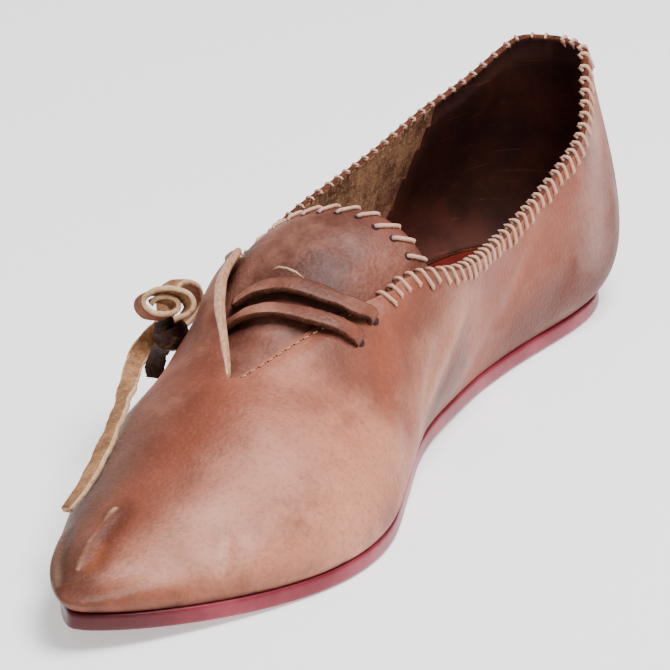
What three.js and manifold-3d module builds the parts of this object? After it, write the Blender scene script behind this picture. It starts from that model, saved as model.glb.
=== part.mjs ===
// A turned leather shoe for the right foot: one flat outsole, an insole, a one-piece upper with a slit
// over the instep, a tongue sewn under the slit, and a leather thong laced across it and tied at the side.
// Millimetres. +Z is up, the toe points to -Y, the medial (inner) side of the foot is +X.
import * as THREE from 'three';
import { mergeVertices } from 'three/addons/utils/BufferGeometryUtils.js';
import Module from 'manifold-3d';

const wasm = await Module();
wasm.setup();

// Driving sizes of the shoe
const SOLE_LENGTH = 265;
const BALL_WIDTH = 76; // tread of the sole across the ball
const HEEL_WIDTH = 52; // tread of the sole across the heel
const SOLE_THICKNESS = 4.5;
const SOLE_EDGE_ROUND = 0.8;
const ARCH_RISE = 0.8;
const TOE_SPRING = 5.6;
const HEEL_HEIGHT = 60; // top of the collar at the heel, above the sole's top face
const THROAT_HEIGHT = 45; // collar beside the tongue, above the sole's top face
const INSTEP_HEIGHT = 35.5; // front point of the slit, above the sole's top face
const UPPER_WALL = 1.8;
const FEATHER_INSET = 0.8; // the upper's lower edge stands this far in from the sole's edge
const INSOLE_THICKNESS = 1.8;
const TONGUE_THICKNESS = 1.6;
const TONGUE_MEDIAL_LAP = 5; // how far the tongue runs under the sewn edge
const TONGUE_LATERAL_LAP = 9; // how far it runs under the free flap
const FLAP_LIFT = 5; // the free flap's edge stands off the tongue
const FLAP_LIFT_REACH = 20;
const THONG_WIDTH = 4.8;
const THONG_THICKNESS = 1.6;
const THONG_HOLE_LENGTH = 5;
const THONG_HOLE_WIDTH = 2.4;
const FIT_GAP = 0.3; // clearance between pieces that meet

// Stations along the foot, as shares of the sole's length
const SLIT_POINT_AT = 0.68;
const HEEL_SEAT_END = 0.3;
const BALL_START = 0.57;
const ARCH_START = 0.27;
const ARCH_END = 0.57;
const SPRING_START = 0.77;

// Resolution of the faceted solids
const COLUMNS = 64;
const ROWS = 12;
const TONGUE_ROWS = 14;
const TONGUE_COLUMNS = 12;

// Sole outline: distance from the heel as a share of the length, edges as shares of the width there
const OUTLINE = [
  { at: 0, medial: 0.038, lateral: 0.038 },
  { at: 0.012, medial: 0.235, lateral: -0.158 },
  { at: 0.04, medial: 0.385, lateral: -0.327 },
  { at: 0.09, medial: 0.49, lateral: -0.452 },
  { at: 0.16, medial: 0.481, lateral: -0.51 },
  { at: 0.26, medial: 0.413, lateral: -0.519 },
  { at: 0.37, medial: 0.386, lateral: -0.5 },
  { at: 0.47, medial: 0.357, lateral: -0.445 },
  { at: 0.57, medial: 0.428, lateral: -0.447 },
  { at: 0.66, medial: 0.526, lateral: -0.474 },
  { at: 0.75, medial: 0.526, lateral: -0.441 },
  { at: 0.83, medial: 0.424, lateral: -0.362 },
  { at: 0.91, medial: 0.263, lateral: -0.243 },
  { at: 0.96, medial: 0.138, lateral: -0.151 },
  { at: 0.988, medial: 0.046, lateral: -0.086 },
  { at: 1, medial: -0.033, lateral: -0.033 },
];

// Ribs of the upper, one row for each station at the sole's edge. The spine is the line that a rib climbs
// to: along is a share of the length, side of the width there, height of the upper's height there. A rib
// leaves the sole by bulge (width) and rise (height) and reaches the spine by spread (width) and drop.
const RIBS_MEDIAL = [
  { at: 0, along: -0.004, side: 0.038, height: 1.125, bulge: 0.308, rise: 0.2, spread: 0.096, drop: 0.367 },
  { at: 0.014, along: -0.002, side: 0.14, height: 1.116, bulge: 0.304, rise: 0.2, spread: 0.09, drop: 0.368 },
  { at: 0.05, along: 0.015, side: 0.25, height: 1.084, bulge: 0.288, rise: 0.202, spread: 0.077, drop: 0.37 },
  { at: 0.12, along: 0.075, side: 0.375, height: 1.002, bulge: 0.231, rise: 0.209, spread: 0.058, drop: 0.348 },
  { at: 0.22, along: 0.181, side: 0.433, height: 0.977, bulge: 0.135, rise: 0.228, spread: 0.048, drop: 0.304 },
  { at: 0.32, along: 0.294, side: 0.468, height: 0.948, bulge: 0.095, rise: 0.25, spread: 0.038, drop: 0.25 },
  { at: 0.42, along: 0.4, side: 0.403, height: 1.095, bulge: 0.113, rise: 0.265, spread: 0.097, drop: 0.31 },
  { at: 0.5, along: 0.491, side: 0.194, height: 1.197, bulge: 0.111, rise: 0.274, spread: 0.194, drop: 0.228 },
  { at: 0.58, along: 0.589, side: 0.039, height: 1.158, bulge: 0.105, rise: 0.28, spread: 0.263, drop: 0.102 },
  { at: 0.68, along: 0.694, side: -0.02, height: 1, bulge: 0.105, rise: 0.282, spread: 0.316, drop: 0.014 },
  { at: 0.78, along: 0.792, side: -0.034, height: 0.746, bulge: 0.092, rise: 0.254, spread: 0.289, drop: 0 },
  { at: 0.87, along: 0.872, side: -0.042, height: 0.519, bulge: 0.066, rise: 0.225, spread: 0.158, drop: 0 },
  { at: 0.94, along: 0.936, side: -0.046, height: 0.322, bulge: 0.053, rise: 0.197, spread: 0.066, drop: 0 },
  { at: 1, along: 0.97, side: -0.053, height: 0.166, bulge: 0.092, rise: 0.141, spread: 0.039, drop: 0.014 },
];
const RIBS_LATERAL = [
  { at: 0, along: -0.004, side: 0.038, height: 1.125, bulge: 0.308, rise: 0.2, spread: 0.096, drop: 0.367 },
  { at: 0.014, along: -0.002, side: -0.064, height: 1.116, bulge: 0.304, rise: 0.2, spread: 0.09, drop: 0.368 },
  { at: 0.05, along: 0.015, side: -0.173, height: 1.084, bulge: 0.288, rise: 0.202, spread: 0.077, drop: 0.37 },
  { at: 0.12, along: 0.075, side: -0.308, height: 1.002, bulge: 0.231, rise: 0.209, spread: 0.058, drop: 0.348 },
  { at: 0.22, along: 0.181, side: -0.423, height: 0.977, bulge: 0.135, rise: 0.228, spread: 0.048, drop: 0.304 },
  { at: 0.32, along: 0.294, side: -0.515, height: 0.969, bulge: 0.115, rise: 0.25, spread: 0.038, drop: 0.25 },
  { at: 0.42, along: 0.4, side: -0.468, height: 1.095, bulge: 0.113, rise: 0.265, spread: 0.065, drop: 0.31 },
  { at: 0.5, along: 0.491, side: -0.306, height: 1.197, bulge: 0.097, rise: 0.274, spread: 0.139, drop: 0.228 },
  { at: 0.58, along: 0.589, side: -0.132, height: 1.158, bulge: 0.092, rise: 0.28, spread: 0.237, drop: 0.127 },
  { at: 0.68, along: 0.694, side: -0.02, height: 1, bulge: 0.086, rise: 0.282, spread: 0.289, drop: 0.014 },
  { at: 0.78, along: 0.792, side: -0.034, height: 0.746, bulge: 0.072, rise: 0.254, spread: 0.237, drop: 0 },
  { at: 0.87, along: 0.872, side: -0.042, height: 0.519, bulge: 0.079, rise: 0.225, spread: 0.158, drop: 0 },
  { at: 0.94, along: 0.936, side: -0.046, height: 0.322, bulge: 0.118, rise: 0.197, spread: 0.092, drop: 0 },
  { at: 1, along: 0.97, side: -0.053, height: 0.166, bulge: 0.092, rise: 0.141, spread: 0.039, drop: 0.014 },
];

// Collar line: along the foot, heights as shares of the straight fall from heel height to throat height
const COLLAR = [
  { at: -0.011, medial: 1.005, lateral: 1.005 },
  { at: 0.008, medial: 1.003, lateral: 1.003 },
  { at: 0.057, medial: 0.86, lateral: 0.926 },
  { at: 0.132, medial: 0.77, lateral: 0.884 },
  { at: 0.226, medial: 0.727, lateral: 0.836 },
  { at: 0.321, medial: 0.75, lateral: 0.823 },
  { at: 0.375, medial: 0.8, lateral: 0.787 },
  { at: 0.425, medial: 0.878, lateral: 0.765 },
  { at: 0.475, medial: 0.985, lateral: 0.875 },
  { at: 0.51, medial: 1, lateral: 1.02 },
  { at: 0.536, medial: 1, lateral: 1.08 },
  { at: 0.6, medial: 1.2, lateral: 1.2 },
];

// Back corners of the slit: along the foot, and to the side as a share of the ball width
const SLIT_CORNER = {
  medial: { at: 0.532, side: 0.23, reach: 0.026 },
  lateral: { at: 0.517, side: -0.29, reach: 0.015 },
};

const smooth = (from, to, value) => THREE.MathUtils.smoothstep(value, from, to);
const lerp = THREE.MathUtils.lerp;

// Natural cubic curve through the rows of a table
function spline(knots, values) {
  const count = knots.length;
  const bend = new Array(count).fill(0);
  const carry = new Array(count).fill(0);
  for (let i = 1; i < count - 1; i++) {
    const before = knots[i] - knots[i - 1];
    const after = knots[i + 1] - knots[i];
    const share = before / (before + after);
    const pivot = share * bend[i - 1] + 2;
    const slopeChange = (values[i + 1] - values[i]) / after - (values[i] - values[i - 1]) / before;
    bend[i] = (share - 1) / pivot;
    carry[i] = ((6 * slopeChange) / (before + after) - share * carry[i - 1]) / pivot;
  }
  for (let i = count - 2; i > 0; i--) {
    bend[i] = bend[i] * bend[i + 1] + carry[i];
  }
  bend[0] = 0;
  bend[count - 1] = 0;
  return (at) => {
    let i = 0;
    while (i < count - 2 && at > knots[i + 1]) i++;
    const step = knots[i + 1] - knots[i];
    const low = (knots[i + 1] - at) / step;
    const high = (at - knots[i]) / step;
    const curve = ((low ** 3 - low) * bend[i] + (high ** 3 - high) * bend[i + 1]) * ((step * step) / 6);
    return low * values[i] + high * values[i + 1] + curve;
  };
}

const column = (rows, name) => spline(rows.map((row) => row.at), rows.map((row) => row[name]));

// Sole: width scale, height of the underside and of the top face at a station
function widthAt(at) {
  return lerp(HEEL_WIDTH, BALL_WIDTH, smooth(HEEL_SEAT_END, BALL_START, at));
}

function undersideAt(at) {
  const inArch = at > ARCH_START && at < ARCH_END;
  const arch = inArch ? Math.sin((Math.PI * (at - ARCH_START)) / (ARCH_END - ARCH_START)) ** 2 : 0;
  const spring = Math.max(0, (at - SPRING_START) / (1 - SPRING_START)) ** 2;
  return ARCH_RISE * arch + TOE_SPRING * spring;
}

const soleTopAt = (at) => undersideAt(at) + SOLE_THICKNESS;

// The outline's tables are read over an angle, so that heel and toe close round
const roundKey = (at) => Math.acos(1 - 2 * THREE.MathUtils.clamp(at, 0, 1));
const outlineKeys = OUTLINE.map((row) => roundKey(row.at));
const outlineCurve = {
  medial: spline(outlineKeys, OUTLINE.map((row) => row.medial)),
  lateral: spline(outlineKeys, OUTLINE.map((row) => row.lateral)),
};

const edgePoint = (side, key) => {
  const at = (1 - Math.cos(key)) / 2;
  return new THREE.Vector2(outlineCurve[side](key) * widthAt(at), -at * SOLE_LENGTH);
};

// Point on the sole's edge, moved in by inset, and the direction that points out of the sole there
function edgeAt(side, at, inset) {
  const KEY_STEP = 0.01;
  const key = roundKey(at);
  const turn = side === 'medial' ? 1 : -1;
  const out = new THREE.Vector2(0, 1);
  if (at >= 1) {
    out.set(0, -1);
  } else if (at > 0) {
    const ahead = edgePoint(side, Math.min(key + KEY_STEP, Math.PI));
    const behind = edgePoint(side, Math.max(key - KEY_STEP, 0));
    const run = ahead.sub(behind).normalize();
    out.set(-turn * run.y, turn * run.x);
  }
  const point = edgePoint(side, key).addScaledVector(out, -inset);
  return { point, out };
}

// Stations that all pieces share: closer together at heel and toe, with one on the slit's point
function stationList() {
  const END_CROWDING = 0.75;
  const list = [];
  for (let i = 0; i <= COLUMNS; i++) {
    const share = i / COLUMNS;
    list.push(END_CROWDING * (1 - Math.cos(Math.PI * share)) / 2 + (1 - END_CROWDING) * share);
  }
  const nearest = list.reduce((best, at, i) => (
    Math.abs(at - SLIT_POINT_AT) < Math.abs(list[best] - SLIT_POINT_AT) ? i : best), 0);
  list[nearest] = SLIT_POINT_AT;
  return { list, slitIndex: nearest };
}
const { list: STATIONS, slitIndex: SLIT_INDEX } = stationList();

// Upper: named height at a station, from heel through throat to instep
function heightAt(at) {
  const THROAT_AT = 0.45;
  const quarter = lerp(HEEL_HEIGHT, THROAT_HEIGHT, smooth(0, THROAT_AT, at));
  return lerp(quarter, INSTEP_HEIGHT, smooth(THROAT_AT, SLIT_POINT_AT, at));
}

const ribCurves = { medial: {}, lateral: {} };
for (const name of ['along', 'side', 'height', 'bulge', 'rise', 'spread', 'drop']) {
  ribCurves.medial[name] = column(RIBS_MEDIAL, name);
  ribCurves.lateral[name] = column(RIBS_LATERAL, name);
}

// The spine: each side has its own behind the slit, and both share one over the vamp
function spineAt(side, at) {
  const own = (which) => new THREE.Vector3(
    ribCurves[which].side(at) * widthAt(at),
    -ribCurves[which].along(at) * SOLE_LENGTH,
    soleTopAt(at) + ribCurves[which].height(at) * heightAt(at),
  );
  const SHARE_START = 0.6;
  const shared = own('medial').add(own('lateral')).multiplyScalar(0.5);
  return own(side).lerp(shared, smooth(SHARE_START, SLIT_POINT_AT, at));
}

// One rib as a cubic curve from the sole's edge to the spine
function ribAt(side, at) {
  const curves = ribCurves[side];
  const width = widthAt(at);
  const height = heightAt(at);
  const { point, out } = edgeAt(side, at, FEATHER_INSET);
  const foot = new THREE.Vector3(point.x, point.y, soleTopAt(at) + FIT_GAP);
  const spine = spineAt(side, at);
  const bulge = curves.bulge(at) * width;
  const lower = new THREE.Vector3(
    foot.x + out.x * bulge, foot.y + out.y * bulge, foot.z + curves.rise(at) * height);

  const FULL_LEAN = 15; // past this distance the spine is left straight towards the sole's edge
  const lean = new THREE.Vector2(foot.x - spine.x, foot.y - spine.y);
  const distance = lean.length();
  lean.normalize().lerp(out, 1 - Math.min(distance / FULL_LEAN, 1)).normalize();
  const spread = curves.spread(at) * width;
  const STEP = 0.004;
  const ahead = spineAt(side, at + STEP);
  const behind = spineAt(side, at - STEP);
  const slope = (ahead.z - behind.z) / (ahead.y - behind.y);
  const follow = smooth(0.5, 0.6, at) * slope * lean.y * spread;
  const upper = new THREE.Vector3(
    spine.x + lean.x * spread,
    spine.y + lean.y * spread,
    spine.z - curves.drop(at) * height + follow,
  );
  return new THREE.CubicBezierCurve3(foot, lower, upper, spine);
}

const collarCurve = { medial: column(COLLAR, 'medial'), lateral: column(COLLAR, 'lateral') };

function collarHeight(side, along) {
  const fall = lerp(HEEL_HEIGHT, THROAT_HEIGHT, along / 0.5);
  return soleTopAt(along) + collarCurve[side](along) * fall;
}

// True where a point of a rib has passed the collar line or the edge of the slit
function pastEdge(side, point) {
  const along = -point.y / SOLE_LENGTH;
  const corner = SLIT_CORNER[side];
  if (along < corner.at && point.z > collarHeight(side, along)) return true;
  const tip = spineAt(side, SLIT_POINT_AT);
  const tipAt = -tip.y / SOLE_LENGTH;
  if (along < corner.at - corner.reach || along > tipAt) return false;
  const share = (along - corner.at) / (tipAt - corner.at);
  const slitX = lerp(corner.side * BALL_WIDTH, tip.x, share);
  return side === 'medial' ? point.x < slitX : point.x > slitX;
}

// Share of a rib at which it meets the collar or the slit
function edgeShare(side, at) {
  if (at >= SLIT_POINT_AT) return 1;
  const SCAN = 60;
  const HALVINGS = 18;
  const rib = ribAt(side, at);
  for (let i = 12; i <= SCAN; i++) {
    if (!pastEdge(side, rib.getPoint(i / SCAN))) continue;
    let low = (i - 1) / SCAN;
    let high = i / SCAN;
    for (let k = 0; k < HALVINGS; k++) {
      const middle = (low + high) / 2;
      if (pastEdge(side, rib.getPoint(middle))) high = middle;
      else low = middle;
    }
    return low;
  }
  return 1;
}

// The free flap on the lateral side stands off: the lift fades down the rib, and at both ends of the flap
function flapLift(edge, distance) {
  const along = -edge.y / SOLE_LENGTH;
  const rise = 1 - smooth(0.605, 0.695, along);
  const start = smooth(0.5, 0.59, along);
  const fade = 1 - smooth(0, FLAP_LIFT_REACH, distance);
  return FLAP_LIFT * rise * start * fade;
}

const LIFT_DIRECTION = new THREE.Vector3(-0.68, 0, 0.73);

// Outer face of the upper: share 0 at the sole's edge, 1 at the collar, the slit or the spine
function upperColumn(side, at) {
  const rib = ribAt(side, at);
  const limit = edgeShare(side, at);
  const edge = rib.getPoint(limit);
  return (share) => {
    const point = rib.getPoint(limit * share);
    if (side === 'lateral') point.addScaledVector(LIFT_DIRECTION, flapLift(edge, point.distanceTo(edge)));
    return point;
  };
}

// Closed mesh from a list of points and triangles
function solid(points, triangles) {
  const geometry = new THREE.BufferGeometry();
  geometry.setAttribute('position', new THREE.Float32BufferAttribute(points.flatMap((p) => p.toArray()), 3));
  geometry.setIndex(triangles);
  return geometry;
}

// Vertex normals of an open surface
function surfaceNormals(points, triangles) {
  const surface = solid(points, triangles);
  surface.computeVertexNormals();
  const normals = surface.getAttribute('normal');
  return points.map((_, i) => new THREE.Vector3().fromBufferAttribute(normals, i));
}

function buildUpper() {
  const points = [];
  const numbers = new Map();
  const sides = ['medial', 'lateral'];
  const owner = (side, i, j) => {
    const shared = i === 0 || i === COLUMNS || (j === ROWS && i >= SLIT_INDEX);
    return `${shared ? 'medial' : side},${i},${j}`;
  };
  for (const side of sides) {
    STATIONS.forEach((at, i) => {
      const face = upperColumn(side, at);
      for (let j = 0; j <= ROWS; j++) {
        const name = owner(side, i, j);
        if (numbers.has(name)) continue;
        numbers.set(name, points.length);
        points.push(face(j / ROWS));
      }
    });
  }
  const number = (side, i, j) => numbers.get(owner(side, i, j));

  const outer = [];
  for (const side of sides) {
    for (let i = 0; i < COLUMNS; i++) {
      for (let j = 0; j < ROWS; j++) {
        const [a, b] = [number(side, i, j), number(side, i + 1, j)];
        const [c, d] = [number(side, i + 1, j + 1), number(side, i, j + 1)];
        if (side === 'medial') outer.push(a, d, c, a, c, b);
        else outer.push(a, c, d, a, b, c);
      }
    }
  }
  const filled = outer.filter((_, k) => {
    const t = k - (k % 3);
    return new Set([outer[t], outer[t + 1], outer[t + 2]]).size === 3;
  });

  const normals = surfaceNormals(points, filled);
  const count = points.length;
  const inner = points.map((point, k) => point.clone().addScaledVector(normals[k], -UPPER_WALL));
  const flatten = (k) => {
    const flat = normals[k].clone().setZ(0).normalize();
    inner[k].copy(points[k]).addScaledVector(flat, -UPPER_WALL);
  };
  const bottomLoop = loopOf((side, i) => number(side, i, 0), COLUMNS);
  bottomLoop.forEach(flatten);

  const triangles = [...filled];
  for (let t = 0; t < filled.length; t += 3) {
    triangles.push(filled[t] + count, filled[t + 2] + count, filled[t + 1] + count);
  }
  joinLoops(triangles, bottomLoop, count, false);
  joinLoops(triangles, loopOf((side, i) => number(side, i, ROWS), SLIT_INDEX), count, true);
  return solid([...points, ...inner], triangles);
}

// Numbers round a rim: medial side from the heel forward to the last column, then back on the lateral side
function loopOf(number, last) {
  const loop = [];
  for (let i = 0; i <= last; i++) loop.push(number('medial', i));
  for (let i = last - 1; i > 0; i--) loop.push(number('lateral', i));
  return loop;
}

// Closes a rim between the outer face and the inner one, whose numbers are higher by shift
function joinLoops(triangles, loop, shift, top) {
  loop.forEach((a, k) => {
    const b = loop[(k + 1) % loop.length];
    if (top) triangles.push(a, a + shift, b + shift, a, b + shift, b);
    else triangles.push(a, b + shift, a + shift, a, b, b + shift);
  });
}

// A plate that follows the sole: rings from the underside's inset out round the edge to the top's inset
function buildPlate(rings) {
  const points = [];
  const triangles = [];
  const loop = loopOf((side, i) => ({ side, at: STATIONS[i] }), COLUMNS);
  for (const ring of rings) {
    for (const { side, at } of loop) {
      const { point } = edgeAt(side, at, ring.inset);
      points.push(new THREE.Vector3(point.x, point.y, undersideAt(at) + ring.height));
    }
  }
  const size = loop.length;
  for (let r = 0; r < rings.length - 1; r++) {
    for (let k = 0; k < size; k++) {
      const next = (k + 1) % size;
      const [a, b] = [r * size + k, r * size + next];
      triangles.push(a, a + size, b + size, a, b + size, b);
    }
  }
  const top = (rings.length - 1) * size;
  for (let i = 0; i < COLUMNS; i++) {
    const lateral = (k) => (k === 0 ? 0 : (size - k) % size);
    const [a, b, c, d] = [i, i + 1, lateral(i + 1), lateral(i)];
    if (a !== d) triangles.push(a, b, d, top + a, top + d, top + b);
    if (b !== c) triangles.push(b, c, d, top + b, top + d, top + c);
  }
  return solid(points, triangles);
}

function buildOutsole() {
  return buildPlate([
    { inset: SOLE_EDGE_ROUND, height: 0 },
    { inset: SOLE_EDGE_ROUND * 0.25, height: SOLE_EDGE_ROUND * 0.35 },
    { inset: 0, height: SOLE_EDGE_ROUND },
    { inset: 0, height: SOLE_THICKNESS - SOLE_EDGE_ROUND / 2 },
    { inset: SOLE_EDGE_ROUND / 2, height: SOLE_THICKNESS },
  ]);
}

function buildInsole() {
  const inset = FEATHER_INSET + UPPER_WALL + FIT_GAP + 0.1;
  const base = SOLE_THICKNESS + FIT_GAP;
  return buildPlate([
    { inset, height: base },
    { inset, height: base + INSOLE_THICKNESS },
  ]);
}

// Tongue: its sections run from under the sewn medial edge over the instep to under the lateral flap
const TONGUE_TOP_AT = 0.46;
const TONGUE_FRONT_AT = 0.715;
const TONGUE_NOSE_LAP = 7; // half width of the tongue's front end, under the vamp
const TONGUE_CLEARANCE = 0.5;
// Length of a section's end tangents, as a share of its width: the tongue stands fuller at its free end
const TONGUE_FULLNESS = { top: 0.56, front: 0.38 };

function tongueFoot(side, at) {
  const rib = ribAt(side, at);
  const limit = edgeShare(side, at);
  const lap = side === 'medial' ? TONGUE_MEDIAL_LAP : TONGUE_LATERAL_LAP;
  const under = lerp(lap, TONGUE_NOSE_LAP, smooth(SLIT_POINT_AT - 0.06, SLIT_POINT_AT, at));
  const share = limit - under / rib.getLength();
  const STEP = 0.01;
  const nextRib = ribAt(side, at + STEP);
  const point = rib.getPoint(share);
  const climb = rib.getTangent(share);
  const forward = nextRib.getPoint(share).sub(point);
  const out = new THREE.Vector3().crossVectors(climb, forward).normalize();
  if (out.z < 0) out.negate();
  const nose = TONGUE_CLEARANCE * smooth(SLIT_POINT_AT - 0.04, SLIT_POINT_AT, at);
  point.addScaledVector(out, -(UPPER_WALL + FIT_GAP + TONGUE_CLEARANCE + nose));
  return { point, climb };
}

function tongueSection(at) {
  const medial = tongueFoot('medial', at);
  const lateral = tongueFoot('lateral', at);
  const fullness = lerp(TONGUE_FULLNESS.top, TONGUE_FULLNESS.front, smooth(0.44, SLIT_POINT_AT, at));
  const reach = medial.point.distanceTo(lateral.point) * fullness;
  return new THREE.CubicBezierCurve3(
    lateral.point,
    lateral.point.clone().addScaledVector(lateral.climb, reach),
    medial.point.clone().addScaledVector(medial.climb, reach),
    medial.point,
  );
}

// A sheet of the given thickness below a grid of points, closed round its edges
function buildSheet(grid, thickness) {
  const rows = grid.length;
  const columns = grid[0].length;
  const points = grid.flat();
  const outer = [];
  for (let i = 0; i < rows - 1; i++) {
    for (let j = 0; j < columns - 1; j++) {
      const a = i * columns + j;
      const [b, c, d] = [a + 1, a + columns + 1, a + columns];
      outer.push(a, c, b, a, d, c);
    }
  }
  const normals = surfaceNormals(points, outer);
  const count = points.length;
  const lower = points.map((point, k) => point.clone().addScaledVector(normals[k], -thickness));
  const triangles = [...outer];
  for (let t = 0; t < outer.length; t += 3) {
    triangles.push(outer[t] + count, outer[t + 2] + count, outer[t + 1] + count);
  }
  const rim = [];
  for (let j = 0; j < columns; j++) rim.push(j);
  for (let i = 1; i < rows; i++) rim.push(i * columns + columns - 1);
  for (let j = columns - 2; j >= 0; j--) rim.push((rows - 1) * columns + j);
  for (let i = rows - 2; i > 0; i--) rim.push(i * columns);
  joinLoops(triangles, rim, count, false);
  return solid([...points, ...lower], triangles);
}

function buildTongue() {
  const grid = [];
  for (let i = 0; i <= TONGUE_ROWS; i++) {
    const section = tongueSection(lerp(TONGUE_TOP_AT, TONGUE_FRONT_AT, i / TONGUE_ROWS));
    grid.push(section.getPoints(TONGUE_COLUMNS));
  }
  return buildSheet(grid, TONGUE_THICKNESS);
}

// A flat thong along a route; across gives the direction of its width at each point
function buildThong(route, steps, across) {
  const CORNER = 0.3; // bevel of the thong's edges
  const curve = new THREE.CatmullRomCurve3(route);
  const half = THONG_WIDTH / 2;
  const thick = THONG_THICKNESS / 2;
  const section = [
    [half, thick - CORNER], [half - CORNER, thick], [CORNER - half, thick], [-half, thick - CORNER],
    [-half, CORNER - thick], [CORNER - half, -thick], [half - CORNER, -thick], [half, CORNER - thick],
  ];
  const points = [];
  const triangles = [];
  const size = section.length;
  for (let i = 0; i <= steps; i++) {
    const centre = curve.getPointAt(i / steps);
    const run = curve.getTangentAt(i / steps);
    const wide = across(centre, run);
    wide.addScaledVector(run, -wide.dot(run)).normalize();
    const flat = new THREE.Vector3().crossVectors(run, wide);
    for (const [w, h] of section) {
      points.push(centre.clone().addScaledVector(wide, w).addScaledVector(flat, h));
    }
  }
  for (let i = 0; i < steps; i++) {
    for (let k = 0; k < size; k++) {
      const next = (k + 1) % size;
      const [a, b] = [i * size + k, i * size + next];
      triangles.push(a, a + size, b + size, a, b + size, b);
    }
  }
  const last = steps * size;
  for (let k = 1; k < size - 1; k++) {
    triangles.push(0, k, k + 1, last, last + k + 1, last + k);
  }
  return turnedOut(solid(points, triangles));
}

// Turns a closed mesh so that its faces point out
function turnedOut(geometry) {
  const position = geometry.getAttribute('position');
  const index = geometry.getIndex().array;
  const [a, b, c] = [new THREE.Vector3(), new THREE.Vector3(), new THREE.Vector3()];
  let volume = 0;
  for (let t = 0; t < index.length; t += 3) {
    a.fromBufferAttribute(position, index[t]);
    b.fromBufferAttribute(position, index[t + 1]);
    c.fromBufferAttribute(position, index[t + 2]);
    volume += a.dot(b.cross(c));
  }
  if (volume < 0) {
    for (let t = 0; t < index.length; t += 3) [index[t + 1], index[t + 2]] = [index[t + 2], index[t + 1]];
  }
  return geometry;
}

// Outer face of the upper near a point: place, and direction out of the leather
function upperSpot(side, at, share) {
  const STEP = 0.01;
  const face = upperColumn(side, at);
  const point = face(share);
  const climb = face(share + STEP).sub(face(share - STEP));
  const forward = upperColumn(side, at + STEP)(share).sub(point);
  const out = new THREE.Vector3().crossVectors(forward, climb).normalize();
  if (side === 'medial') out.negate();
  return { point, out, forward: forward.normalize(), climb: climb.normalize() };
}

function tongueSpot(at, across) {
  const STEP = 0.01;
  const section = tongueSection(at);
  const point = section.getPoint(across);
  const forward = tongueSection(at + STEP).getPoint(across).sub(point);
  const out = new THREE.Vector3().crossVectors(forward, section.getTangent(across)).normalize();
  if (out.z < 0) out.negate();
  return { point, out };
}

// Thong holes: one pair in each side, at a station and a share of the rib
const MEDIAL_HOLES = [{ at: 0.546, share: 0.92 }, { at: 0.573, share: 0.855 }];
const LATERAL_HOLES = [{ at: 0.585, share: 0.66 }, { at: 0.61, share: 0.68 }];
const BAR_LIFT = 1.1; // slack of a bar over the tongue

// A bar leaves its medial hole, crosses the sewn edge and the tongue, and ends under the flap
function buildBar(hole, end) {
  const stand = THONG_THICKNESS / 2 + FIT_GAP + 0.4;
  const start = upperSpot('medial', hole.at, hole.share);
  const edge = upperSpot('medial', lerp(hole.at, end.at, 0.2), lerp(hole.share, 1, 0.75));
  const route = [start.point.addScaledVector(start.out, stand), edge.point.addScaledVector(edge.out, stand + 0.4)];
  const TONGUE_STOPS = [0.62, 0.4, 0.2];
  TONGUE_STOPS.forEach((across, k) => {
    const spot = tongueSpot(lerp(hole.at, end.at, 0.5 + 0.25 * k), across);
    const slack = BAR_LIFT * Math.sin(Math.PI * (1 - across));
    route.push(spot.point.addScaledVector(spot.out, stand + slack * (k < 2 ? 1 : 0)));
  });
  const BAR_STEPS = 20;
  const TOEWARD = new THREE.Vector3(0, -1, -0.3);
  return buildThong(route, BAR_STEPS, () => TOEWARD.clone());
}

// Loose thong, tied in a bow at the side. Points are across, along from the heel, and up
const place = ([x, along, z]) => new THREE.Vector3(x, -along, z);
const KNOT = { centre: [-34, 151.8, 33], radius: [3, 4.4, 4] };
const BACK_LOOP = [
  [-36.6, 149.4, 35.6], [-38.8, 145.6, 39.8], [-38.4, 140.6, 41.6], [-37.8, 136, 40.2], [-37.6, 132.4, 37],
  [-37.6, 131.4, 33.6], [-37.8, 133.8, 30.8], [-38, 138.6, 30], [-37.6, 143.4, 30.6], [-37, 147.4, 31.6],
];
const HANGING_END = [
  [-38.8, 152.6, 32.2], [-40.3, 154.6, 29.8], [-40.2, 158, 28.2], [-38.6, 163.6, 27.6], [-36.4, 169.4, 27.5],
  [-33.7, 176.4, 27.6], [-30.4, 185, 28.2], [-27.7, 192, 28.9], [-25.6, 199.1, 28.2], [-24.1, 205.3, 27.2],
  [-22.8, 211.8, 25.7], [-22, 217.5, 24.1], [-21.5, 223.1, 22.4], [-21.9, 227.5, 20.5], [-22.3, 230.6, 19.2],
];
const SHORT_END = [[-36.7, 150.4, 29.4], [-38.9, 149, 26.4], [-40, 148.8, 22.6], [-40, 150, 19]];

// The front loop is a coil round a line that points forward and inward; it also runs back along that line
const FRONT_LOOP = {
  centre: [-34.9, 153.9, 41.9], halfWidth: 7.4, halfHeight: 4.3, turns: 1.6, curl: 0.66, depth: 2.4,
};
const LOOP_SIDE = place([0.897, -0.443, 0]);
const LOOP_UP = place([-0.184, -0.372, 0.91]);
const LOOP_AXIS = place([0.744, 0.374, 0.566]);

function frontLoopRoute() {
  const POINTS = 22;
  const START = -1.2; // radians, low down beside the knot
  const route = [];
  for (let i = 0; i <= POINTS; i++) {
    const share = i / POINTS;
    const angle = START + share * FRONT_LOOP.turns * 2 * Math.PI;
    const size = 1 - FRONT_LOOP.curl * share;
    route.push(place(FRONT_LOOP.centre)
      .addScaledVector(LOOP_SIDE, size * FRONT_LOOP.halfWidth * Math.cos(angle))
      .addScaledVector(LOOP_UP, size * FRONT_LOOP.halfHeight * Math.sin(angle))
      .addScaledVector(LOOP_AXIS, -FRONT_LOOP.depth * share));
  }
  return route;
}

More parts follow.
